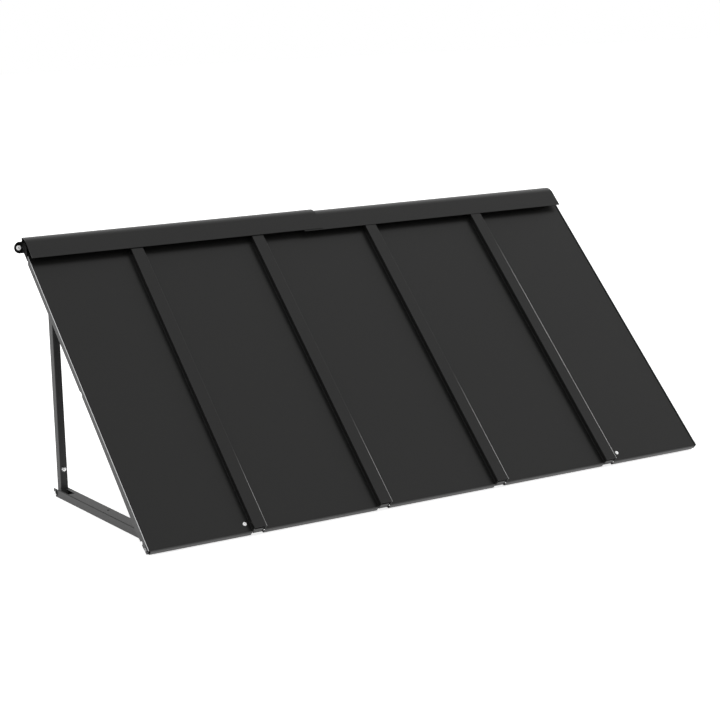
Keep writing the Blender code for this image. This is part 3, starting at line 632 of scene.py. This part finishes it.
# Joint channels under the battens, with the tab that closes each batten in front
channelSet = {
    "sheet": 0.0015,
    "foot": 0.0290,
    "bend": 0.0021,
    "clear": 0.0012,             # between its sides and the panels' upturned edges
    "drop": 0.0030,              # between its top and the cap
    "tabSetback": 0.0003,
    "tabDrop": 0.0120,
    "seal": (0.0050, 0.0060),    # painted shade: a black band along the tab's right and upper edges
    "shadeReach": 0.012,          # up from the front folds
    "shadeSpread": 0.97,          # and on all faces that look aside, as a cosine
}
channelHalf = upturnFace - channelSet["clear"]
channelTop = capSet["height"] - capSet["sheet"] - channelSet["drop"]
footTop = -panelSet["sheet"] - gap
crossTop = footTop - channelSet["sheet"] - gap        # top of the two rails across
crossHalf = halfWidth - 0.0165                        # half of their length
frameSheet = 0.0020                                   # of those rails and the arms
wallRailSet = {
    "height": 0.036,
    "earOut": 0.004,             # an ear's centre, past the side of the roof
    "earScrewOut": 0.0045,       # its screw, past that centre
    "cheekReach": 0.044,
    "cheekTop": 0.018,
    "cheekUnder": 0.011,
    "flange": 0.030,
    "bend": 0.0030,
    "edgeRound": 0.0003,
}
shelfTop = frameSheet - wallRailSet["height"] / 2
wallBend = outOnSlope(shelfTop, crossTop)
frontRailSet = {"setback": 0.016, "flange": 0.036, "shelf": 0.046, "bend": 0.0030}
frontBendY, frontBendZ = sideView(frontRailSet["setback"] - slopeLength, crossTop)


def channelScrews(count):
    way = 1 if count < len(battenPlaces) / 2 else -1
    x = battenPlaces[count] + way * (channelHalf + channelSet["foot"] / 2)
    upper = downSlope(wallBend, crossTop) + wallRailSet["flange"] / 2
    return {"upper": (x, upper), "lower": (x, slopeLength - panelSet["screwUp"])}


def channelDrills(spot):
    places = [channelScrews(count)[spot] for count in range(len(battenPlaces))]
    return [roofDrill("frame", x, -down, crossTop) for x, down in places]


def makeChannel(count, s):
    middle = battenPlaces[count]
    foot = channelHalf + s["foot"]
    shadeStart, shadeUnder = channelHalf - s["seal"][0], channelTop - s["seal"][1]
    section = [(-foot, footTop), (-channelHalf, footTop), (-channelHalf, channelTop),
               (shadeStart, channelTop), (channelHalf, channelTop), (channelHalf, footTop), (foot, footTop)]
    bm = bmesh.new()
    line = drawLine(bm, [(middle + x, -panelSet["start"], z) for x, z in section])
    edges = pull(bm, line, (0, panelSet["start"] + panelSet["upturnStop"] - slopeLength, 0))
    web = [edge for edge in edges if all(corner.co.z > channelTop - near for corner in edge.verts)]
    webEnd = pull(bm, web, (0, s["tabSetback"] - panelSet["upturnStop"], 0))
    pull(bm, pull(bm, webEnd, (0, 0, shadeUnder - channelTop)), (0, 0, -shadeUnder - s["tabDrop"]))
    markFolds(bm)
    turnFaces(bm, (0, 0, 1), channelTop - near)
    tools = [roofDrill("frame", x, -down, footTop, deepDrill) for x, down in channelScrews(count).values()]
    end = endSide(count, len(battenPlaces))
    if end:
        tools.append(panelScrewDrill(end, footTop, deepDrill))
    piece = foldSheet(bm, s["sheet"], s["bend"], -1.0, slopeTurn, tools)
    dress(piece, frameCoat, f"joint_channel_{count + 1}")

    # Painted shade: near black on the tab's right and upper bands, and on faces near the front that look
    # aside
    def inPaintedShade(face):
        spot = toRoof @ face.center
        return spot.y < s["shadeReach"] - slopeLength and (
            face.normal.dot(downRoof) < s["shadeSpread"] or spot.z > shadeUnder
            or spot.x > middle + shadeStart)

    addFinish(piece, paintedDeepShade, inPaintedShade)


for count in range(len(battenPlaces)):
    makeChannel(count, channelSet)


# Side rails
def mouthTool(way, s):
    x = way * (halfWidth + s["foot"])
    middle = gap - slopeLength + s["mouthUp"]
    radius, drop = s["mouthRadius"], s["mouthDrop"]
    outline = [(x, middle - radius, -3 * drop), (x, middle + radius, -3 * drop)]
    outline += [(x, middle + y, z - drop) for y, z in arc(radius, 0, math.pi, 24)]
    return slab(outline, (-4 * way * s["foot"], 0, 0), slopeTurn)


def makeSideRail(side, s):
    way = sides[side]
    web = way * halfWidth
    inner = web - way * s["foot"]
    front = gap - slopeLength
    bm = bmesh.new()
    rows = []
    for y, added in [(0.0, 0.0)] + [(front + up, added) for up, added in s["swell"]]:
        low = -s["depth"] - added
        corners = ((web, y, s["rim"]), (web, y, low), (inner, y, low))
        rows.append([bm.verts.new(corner) for corner in corners])
    for upper, lower in zip(rows[:-1], rows[1:]):
        for first in (0, 1):
            bm.faces.new((upper[first], upper[first + 1], lower[first + 1], lower[first]))
    markFolds(bm, lambda edge: 1.0 if span(edge, 0) < near else 0.0)
    turnFaces(bm, (way, 0, 0))
    topEnd = s["topEnd"]
    tools = [boxTool((web - topEnd, -topEnd, -2 * topEnd), (web + topEnd, topEnd, topEnd)),
             drill(s["notchRadius"], (web, -s["notchPlace"], -s["depth"] - s["notchDrop"]),
                   4 * s["foot"], "X", slopeTurn),
             mouthTool(way, s), *railDrills(web)]
    piece = foldSheet(bm, s["sheet"], s["bend"], -1.0, slopeTurn, tools)
    dress(piece, frameCoat, f"side_rail_{side}")
    addFinish(piece, cutEdge, lambda face: face.normal.dot(outOfRoof) > s["brightSpread"]
              and (toRoof @ face.center).z > s["rim"] - s["bareRim"])


for side in sides:
    makeSideRail(side, sideRailSet)
print("channels and side rails made")


# Wall rail: plate with round ears, cheeks beside the side rails, and a flange along the slope
def earScrewPlace(side):
    return sides[side] * (halfWidth + wallRailSet["earOut"] + wallRailSet["earScrewOut"])


flashingSet = {                  # here because its rivets go into the wall rail
    "sheet": 0.0012,
    "clear": 0.0015,             # outer face of the lower piece above the caps
    "reach": 0.0935,             # lower edge, down the slope
    "top": 0.0250,
    "leg": 0.0240,
    "endClear": 0.003,
    "seam": 0.0225,              # right end of the left piece, past the middle
    "lap": 0.070,
    "lapRise": 0.005,
    "bend": 0.0170,
    "backBend": 0.0020,
    "rivetInset": 0.450,
    "rivetDrop": 0.017,
}
legFace = -frameSheet - gap
rivetHeight = flashingSet["top"] - flashingSet["rivetDrop"]
rivetPlaces = {"left": flashingSet["rivetInset"] - halfWidth,
               "lap": flashingSet["seam"] - flashingSet["lap"] / 2,
               "right": halfWidth - flashingSet["rivetInset"]}


def rivetDrill(spot):
    return drill(holeFor("frame"), (rivetPlaces[spot], legFace, rivetHeight), axis="Y")


def cheek(way, s):
    high, low, front = s["height"] / 2 - frameSheet, shelfTop, -s["cheekReach"]
    outline = [(-frameSheet / 2, low), (-frameSheet / 2, high), (outOnSlope(high, s["cheekTop"]), high),
               (front, heightOnSlope(front, s["cheekTop"])),
               (front, heightOnSlope(front, -s["cheekUnder"])), (outOnSlope(low, -s["cheekUnder"]), low)]
    return slab([(way * halfWidth, y, z) for y, z in outline], (-way * frameSheet, 0, 0))


def makeWallRail(s):
    ear = arc(s["height"] / 2, -math.pi / 2, math.pi, 32)
    outline = [(way * (halfWidth + s["earOut"] + x), 0, way * z) for way in (1, -1) for x, z in ear]
    piece = slab(outline, (0, -frameSheet, 0))
    tip = sideView(-downSlope(wallBend, crossTop) - s["flange"], crossTop)
    section = [(-crossHalf, y, z) for y, z in ((-frameSheet / 2, shelfTop), (wallBend, shelfTop), tip)]
    tools = [makeStrip(section, (2 * crossHalf, 0, 0), (0, 0, 1), frameSheet, s["bend"], rounding=0)]
    tools += [cheek(way, s) for way in sides.values()]
    for tool in tools:
        addCut(piece, tool, "UNION")
    holes = [drill(holeFor("wall"), (earScrewPlace(side), 0, 0), axis="Y") for side in sides]
    holes += [rivetDrill(spot) for spot in rivetPlaces]
    holes += channelDrills("upper")
    for tool in holes:
        addCut(piece, tool)
    settle(piece, tools + holes, s["edgeRound"])
    dress(piece, earCoat, "wall_rail")


makeWallRail(wallRailSet)


# Front rail, with the shelf that lies on the arms
armSet = {
    "inset": 0.082,              # middle of an arm to the side of the roof
    "width": 0.040,
    "height": 0.025,
    "frontClear": 0.012,
    "bend": 0.0030,
    "pocketClear": 0.010,
    "slotWidth": 0.020,
    "slotLength": 0.105,
    "slotSide": 0.0040,
    "cornerCut": 0.015,
    "holePlace": 0.351,
    "holeInset": 0.0230,
    "holeRadius": 0.0045,
    "boltInset": 0.024,          # front bolt from the arm's front end
    "bendLean": (0.5, 0.9),      # faces of the top bends that get painted shade, by how far they look up
    "endLean": 0.2,              # and no further along the arm than this
}
postSet = {"width": 0.024, "depth": 0.027, "wall": 0.0015, "bend": 0.0020, "footDrop": 0.0065,
           "screwUp": 0.062, "screwDown": 0.060}
pivotSet = {"drop": 0.0130, "out": 0.018, "washer": 0.0090, "washerHeight": 0.0012, "spacer": 0.0055,
            "spacerRound": 0.0003, "nut": 0.0058, "nutHeight": 0.0050, "nutRim": 0.13,
            "nutRimSlope": 0.55, "nutRound": 0.0001}
armTop = frontBendZ - gap
armLow = armTop - armSet["height"]
armReach = -frontBendY - armSet["frontClear"]
pivotZ = armTop - pivotSet["drop"]
postHead = -wallRailSet["height"] / 2 - gap
postScrewPlaces = {"lower": armTop + postSet["screwUp"], "upper": postHead - postSet["screwDown"]}


def armMiddle(side):
    return sides[side] * (halfWidth - armSet["inset"])


def postMiddle(side):
    return armMiddle(side) - sides[side] * (armSet["width"] / 2 - frameSheet - gap - postSet["width"] / 2)


def armBoltDrill(side):
    return drill(holeFor("arm"), (armMiddle(side), armSet["boltInset"] - armReach, armTop))


def makeFrontRail(s):
    section = [(-crossHalf, y, z) for y, z in (
        sideView(s["setback"] + s["flange"] - slopeLength, crossTop),
        (frontBendY, frontBendZ), (frontBendY + s["shelf"], frontBendZ))]
    tools = [armBoltDrill(side) for side in sides] + [panelScrewDrill(side, crossTop) for side in sides]
    piece = makeStrip(section, (2 * crossHalf, 0, 0), (0, 0, -1), frameSheet, s["bend"],
                      tools=tools + channelDrills("lower"))
    dress(piece, frameCoat, "front_rail")


makeFrontRail(frontRailSet)


# Top flashings: the left one lies over the right one, and its leg ends before the other's
def makeFlashing(side, left, right, lift, rise, legLeft, legRight, spots, s):
    outer = capSet["height"] + s["clear"] + lift
    top = s["top"] + lift + rise * sinSlope
    stations = sorted({left, right, legLeft, legRight})
    bm = bmesh.new()
    edges = drawLine(bm, [(stations[0], y, z) for y, z in (
        sideView(rise - s["reach"], outer), (outOnSlope(top, outer), top), (legFace, top))])
    for start, end in zip(stations[:-1], stations[1:]):
        edges = pull(bm, edges, (end - start, 0, 0))
    backs = [edge for edge in bm.edges if all(
        abs(corner.co.y - legFace) < near and legLeft - near < corner.co.x < legRight + near
        for corner in edge.verts)]
    pull(bm, backs, (0, 0, s["top"] - s["leg"] - top))
    backShare = s["backBend"] / s["bend"]
    markFolds(bm, lambda edge: backShare if edge.verts[0].co.y > legFace - near else 1.0)
    turnFaces(bm, (0, -1, 1))
    piece = foldSheet(bm, s["sheet"], s["bend"], tools=[rivetDrill(spot) for spot in spots])
    dress(piece, roofCoat, f"top_flashing_{side}", f"flashing{side.title()}")


def makeFlashings(s):
    end = halfWidth - s["endClear"]
    lapStart = s["seam"] - s["lap"]
    makeFlashing("left", -end, s["seam"], s["sheet"] + gap, s["lapRise"], -end, lapStart - gap,
                 ["left"], s)
    makeFlashing("right", lapStart, end, 0.0, 0.0, lapStart, end, ["lap", "right"], s)


makeFlashings(flashingSet)
print("rails and flashings made")


# Posts and arms
def pivotDrill(side):
    return drill(holeFor("pivot"), (armMiddle(side), -pivotSet["out"], pivotZ), 3 * armSet["width"], "X")


def cornerTool(side):
    size = armSet["height"] + armSet["cornerCut"]
    turn = Matrix.Translation((armMiddle(side), -armSet["cornerCut"], armLow)) @ Matrix.Rotation(
        math.radians(45), 4, "X")
    return boxTool((-armSet["width"], -size, -size), (armSet["width"], size, 0), turn)


def makePost(side, s):
    middle, half = postMiddle(side), s["width"] / 2
    foot = pivotZ - s["footDrop"]
    bm = bmesh.new()
    base = [bm.verts.new((middle + x, y, foot))
            for x, y in ((-half, -s["depth"]), (half, -s["depth"]), (half, 0), (-half, 0))]
    pull(bm, [bm.edges.new(pair) for pair in zip(base, base[1:] + base[:1])], (0, 0, postHead - foot))
    markFolds(bm)
    bmesh.ops.recalc_face_normals(bm, faces=bm.faces)
    tools = [drill(holeFor("wall"), (middle, -s["depth"] / 2, height), 3 * s["depth"], "Y")
             for height in postScrewPlaces.values()]
    tools += [pivotDrill(side), cornerTool(side)]
    piece = foldSheet(bm, s["wall"], s["bend"], tools=tools)
    dress(piece, frameCoat, f"post_{side}")


def makeArm(side, s):
    way, middle, half = sides[side], armMiddle(side), s["width"] / 2
    section = [(middle + x, -armReach, z)
               for x, z in ((-half, armLow), (-half, armTop), (half, armTop), (half, armLow))]
    above, below = armTop + s["height"], armTop - 2 * frameSheet
    pocketHalf = half - frameSheet + gap
    outer = middle + way * (half - s["slotSide"])
    inner = outer - way * s["slotWidth"]
    tools = [boxTool((middle - pocketHalf, -postSet["depth"] - s["pocketClear"], below),
                     (middle + pocketHalf, s["height"], above)),
             boxTool((min(outer, inner), -s["slotLength"], below),
                     (max(outer, inner), -postSet["depth"], above)),
             drill(s["holeRadius"], (middle + way * (half - s["holeInset"]), -s["holePlace"], armTop)),
             armBoltDrill(side), pivotDrill(side), cornerTool(side)]
    piece = makeStrip(section, (0, armReach, 0), (0, 0, 1), frameSheet, s["bend"], tools=tools)
    dress(piece, frameCoat, f"arm_{side}")

    low, high = s["bendLean"]

    def facesIn(face):           # painted shade on the inside, and on the edges of the cuts in the top
        outward = Vector((face.center.x - middle, 0, face.center.z - armLow))
        cut = abs(outward.x) < half - s["bend"] and outward.z > s["height"] / 2
        return face.normal.dot(outward) < 0 or cut and abs(face.normal.z) < low

    # Painted shade: a dark line along the arm's top bends, short of its ends
    def inTopBend(face):
        return (face.material_index == 0 and low < face.normal.z < high
                and abs(face.normal.y) < s["endLean"])

    addFinish(piece, paintedDeepShade, facesIn)
    addFinish(piece, paintedFoldShade, inTopBend)


for side in sides:
    makePost(side, postSet)
    makeArm(side, armSet)
print("posts and arms made")


# Turned pieces: screws, bolts, washers, spacers and nuts
def lathe(outline, turn, tools=(), rounding=0.00015, corners=40):
    bm = bmesh.new()
    drawLine(bm, [(radius, 0, height) for radius, height in outline])
    bmesh.ops.spin(bm, geom=bm.verts[:] + bm.edges[:], cent=(0, 0, 0), axis=(0, 0, 1), angle=2 * math.pi,
                   steps=corners, use_merge=True)
    bmesh.ops.remove_doubles(bm, verts=bm.verts, dist=1e-6)
    bmesh.ops.recalc_face_normals(bm, faces=bm.faces)
    piece = looseObject("piece", bm, turn)
    for tool in tools:
        addCut(piece, tool)
    return settle(piece, tools, rounding)


headSet = {
    "skirt": 0.70,               # upright rim of a head, of its height
    "domeSteps": 8,
    "recess": 0.60,              # depth of the drive, of the head's height
    "drives": {"hex": (1.1, 6), "pin": (0.8, 24)},    # radius, of the socket's, and corners
    "crossReach": 1.35,          # the same for the arms of a cross drive, and their half width
    "crossWidth": 0.34,
    "crossStep": 0.00002,        # one arm ends this much higher
    "threadStart": 0.004,        # or this share of the grip, if that is less
    "threadShare": 0.4,
    "threadPitch": 0.0010,
    "threadDepth": 0.00025,
    "threadEnd": 0.0006,
    "point": 0.0004,             # chamfer at the end
}


def recessTools(drive, size, turn):
    s = headSet
    radius, top = size["socket"], size["height"]
    depth = top * s["recess"]
    if drive in s["drives"]:
        share, corners = s["drives"][drive]
        return [drill(radius * share, (0, 0, top), 2 * depth, turn=turn, corners=corners)]
    wide, narrow, floor = radius * s["crossReach"], radius * s["crossWidth"], top - depth
    return [boxTool((-wide, -narrow, floor), (wide, narrow, 2 * top), turn),
            boxTool((-narrow, -wide, floor + s["crossStep"]), (narrow, wide, 2 * top), turn)]


def makeScrew(node, sizeName, grip, turn, drive="cross", finish=zincCoat, thread=True,
              name=None):
    s, size = headSet, screwSizes[sizeName]
    head, shank, point = size["head"], size["shank"], s["point"]
    skirt = size["height"] * s["skirt"]
    dome = arc(1, 0, math.pi / 2, s["domeSteps"])
    outline = [(head * x, skirt + (size["height"] - skirt) * z) for z, x in dome]
    outline += [(head, 0), (shank, 0)]
    start = min(s["threadShare"] * grip, s["threadStart"])
    turns = int((grip - start - s["threadEnd"]) / s["threadPitch"]) if thread else 0
    for count in range(turns):
        height = -start - count * s["threadPitch"]
        outline += [(shank, height), (shank - s["threadDepth"], height - s["threadPitch"] / 2)]
    outline += [(shank, point - grip), (shank - point, -grip), (0, -grip)]
    dress(lathe(outline, turn, recessTools(drive, size, turn)), finish, node, name)


def makeRing(node, inner, outer, length, turn, rounding=0.0004, finish=rubberCoat,
             name=None):
    half = length / 2
    outline = [(inner, half), (outer, half), (outer, -half), (inner, -half), (inner, half)]
    dress(lathe(outline, turn, rounding=rounding), finish, node, name)


def makeNut(node, sizeName, turn):
    half, size = pivotSet["nutHeight"] / 2, pivotSet["nut"]
    rim = pivotSet["nutRim"] * size
    side = half - pivotSet["nutRimSlope"] * rim
    body = lathe([(0, half), (size - rim, half), (size, side), (size, -side), (size - rim, -half),
                  (0, -half)], turn, rounding=0)
    flats = drill(size, (0, 0, 0), 4 * half, turn=turn, corners=6)
    bore = drill(holeFor(sizeName), (0, 0, 0), 6 * half, turn=turn)
    addCut(body, flats, "INTERSECT")
    addCut(body, bore)
    settle(body, [flats, bore], pivotSet["nutRound"])
    dress(body, zincCoat, node)


facing = {"left": Matrix.Rotation(-math.pi / 2, 4, "Y"), "right": Matrix.Rotation(math.pi / 2, 4, "Y"),
          "front": Matrix.Rotation(math.pi / 2, 4, "X"), "up": upright,
          "down": Matrix.Rotation(math.pi, 4, "X")}


def at(x, y, z, way, base=upright):
    return base @ Matrix.Translation((x, y, z)) @ facing[way]


def makePivot(side, s):
    way, middle, half = sides[side], armMiddle(side), armSet["width"] / 2
    bore = holeFor("pivot")

    def across(x):
        return at(x, -s["out"], pivotZ, side)

    seat = half + 2 * gap + s["washerHeight"]
    makeScrew(f"pivot_bolt_{side}", "pivot", seat + half + gap + s["nutHeight"],
              across(middle + way * seat), "hex")
    makeRing(f"pivot_washer_{side}", bore, s["washer"], s["washerHeight"],
             across(middle + way * (half + gap + s["washerHeight"] / 2)))
    makeNut(f"pivot_nut_{side}", "pivot", across(middle - way * (half + gap + s["nutHeight"] / 2)))
    outer = middle + way * (half - frameSheet - gap)
    inner = postMiddle(side) + way * (postSet["width"] / 2 + gap)
    makeRing(f"pivot_spacer_{side}", bore, s["spacer"], abs(outer - inner), across((outer + inner) / 2),
             s["spacerRound"], zincCoat)


def makeArmBolt(side, s):
    x, y = armMiddle(side), armSet["boltInset"] - armReach
    seat = frameSheet + 2 * gap
    makeScrew(f"arm_bolt_{side}", "arm", seat + frameSheet + gap + s["nutHeight"],
              at(x, y, armTop + seat, "up"), "hex")
    makeNut(f"arm_nut_{side}", "arm", at(x, y, armTop - frameSheet - gap - s["nutHeight"] / 2, "up"))


def makeWallScrews(side):
    for spot, height in postScrewPlaces.items():
        makeScrew(f"post_screw_{side}_{spot}", "wall", postSet["depth"] + gap,
                  at(postMiddle(side), -postSet["depth"] - gap, height, "front"))
    makeScrew(f"ear_screw_{side}", "wall", frameSheet + gap,
              at(earScrewPlace(side), -frameSheet - gap, 0, "front"), finish=brightCoat, thread=False)


def makeRoofScrews(side, s):
    title, way = side.title(), sides[side]
    makeScrew(f"panel_screw_{side}", "panel", 2 * gap - crossTop + frameSheet,
              at(panelScrewPlace(side), panelSet["screwUp"] - slopeLength, gap, "up", slopeTurn),
              finish=brightCoat)
    inside = s["sheet"] + s["groove"] + panelSet["sheet"] + gap
    thick = pivotSet["washerHeight"]

    def fixing(size, out):
        down, drop = s["fixings"][size]
        return at(way * (halfWidth + gap + out), -down, -drop, side, slopeTurn)

    makeScrew(f"side_rail_rivet_{side}", "railRivet", inside, fixing("railRivet", 0), "pin", frameCoat,
              False, f"railRivet{title}")
    makeScrew(f"side_rail_screw_{side}", "railScrew", inside + thick + gap,
              fixing("railScrew", thick + gap), "hex", dullPlate,
              name=f"railScrew{title}")
    makeRing(f"side_rail_washer_{side}", holeFor("railScrew"), s["washer"], thick,
             fixing("railScrew", thick / 2), name=f"railWasher{title}")


for side in sides:
    makePivot(side, pivotSet)
    makeArmBolt(side, pivotSet)
    makeWallScrews(side)
    makeRoofScrews(side, sideRailSet)
for count in range(len(battenPlaces)):
    for spot, (x, down) in channelScrews(count).items():
        makeScrew(f"channel_screw_{count + 1}_{spot}", "frame", frameSheet + channelSet["sheet"] + 2 * gap,
                  at(x, -down, crossTop - frameSheet - gap, "down", slopeTurn))
for spot, x in rivetPlaces.items():
    seat = legFace - flashingSet["sheet"] - gap
    makeScrew(f"flashing_rivet_{spot}", "frame", -seat, at(x, seat, rivetHeight, "front"), "pin",
              thread=False)
print("fasteners made")


# Floor, world and lamp
stageSet = {
    "floorSize": 60.0,
    "floorColour": grey(0.80),
    "floorGlow": 0.72,           # added for the camera and for reflections, so the paper looks white
    "floorGap": 0.0005,          # under the arms
    "worldColour": white,
    "worldLevel": 0.90,
    "overheadLevel": 0.57,       # the ceiling that the sheets mirror, dimmer than the walls
    "ceilingWay": (-0.1, -0.55, 1.0),    # where the ceiling lies
    "ceilingEdge": (0.32, 0.56),         # where it begins and is full
}
keySet = {"from": (0.70, -0.35, 0.62), "away": 5.0, "level": 0.6, "spread": 24.0}


def showsTo(tree, rays, first, *others):
    total = rays[first]
    for name in others:
        total = calculate(tree, "MAXIMUM", total, rays[name])
    return total


def addFloor(s):
    bm = bmesh.new()
    bmesh.ops.create_grid(bm, x_segments=1, y_segments=1, size=s["floorSize"] / 2)
    floor = looseObject("floor", bm, upright)
    floor.location = (0, 0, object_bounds()[0].z - s["floorGap"])
    finish, tree, shader = startFinish("whitePaper")
    rays = addNode(tree, "ShaderNodeLightPath").outputs
    seen = showsTo(tree, rays, "Is Camera Ray", "Is Glossy Ray", "Is Transmission Ray")
    fill(tree, shader, {"Base Color": s["floorColour"], "Roughness": 0.9, "Specular IOR Level": 0.0,
                        "Emission Color": white,
                        "Emission Strength": calculate(tree, "MULTIPLY", seen, s["floorGlow"])})
    floor.data.materials.append(finish)
    floor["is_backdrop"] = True


def addWorld(s):
    world = bpy.data.worlds.new("studio")
    bpy.context.scene.world = world
    world.use_nodes = True
    tree = world.node_tree
    plain = tree.nodes["Background"]
    fill(tree, plain, {"Color": s["worldColour"], "Strength": s["worldLevel"]})
    place = addNode(tree, "ShaderNodeTexCoord").outputs["Generated"]
    overhead = addNode(tree, "ShaderNodeVectorMath", {0: place, 1: s["ceilingWay"]},
                       operation="DOT_PRODUCT")
    level = addNode(tree, "ShaderNodeMapRange", {
        "Value": overhead.outputs["Value"], "From Min": s["ceilingEdge"][0],
        "From Max": s["ceilingEdge"][1], "To Min": 1.0, "To Max": s["overheadLevel"],
    }, interpolation_type="SMOOTHSTEP").outputs["Result"]
    mirrored = addNode(tree, "ShaderNodeBackground", {"Color": white, "Strength": level})
    seen = addNode(tree, "ShaderNodeBackground", {"Color": white})
    rays = addNode(tree, "ShaderNodeLightPath").outputs
    lit = addNode(tree, "ShaderNodeMixShader", {
        "Fac": rays["Is Glossy Ray"], 1: plain.outputs["Background"], 2: mirrored.outputs["Background"]})
    whole = addNode(tree, "ShaderNodeMixShader", {
        "Fac": showsTo(tree, rays, "Is Camera Ray", "Is Transmission Ray"),
        1: lit.outputs["Shader"], 2: seen.outputs["Background"]})
    fill(tree, tree.nodes["World Output"], {"Surface": whole.outputs["Shader"]})


def addKey(s):
    light = bpy.data.lights.new("key", "SUN")
    light.angle = math.radians(s["spread"])
    light.energy = s["level"]
    lamp = bpy.data.objects.new("key", light)
    bpy.context.scene.collection.objects.link(lamp)
    lamp.location = Vector(s["from"]) * s["away"]
    lamp.rotation_euler = Vector(s["from"]).to_track_quat("Z", "Y").to_euler()
    lamp.visible_glossy = False


addFloor(stageSet)
addWorld(stageSet)
addKey(keySet)
bpy.context.scene.view_settings.view_transform = "Standard"
print("floor, world and lamp set")
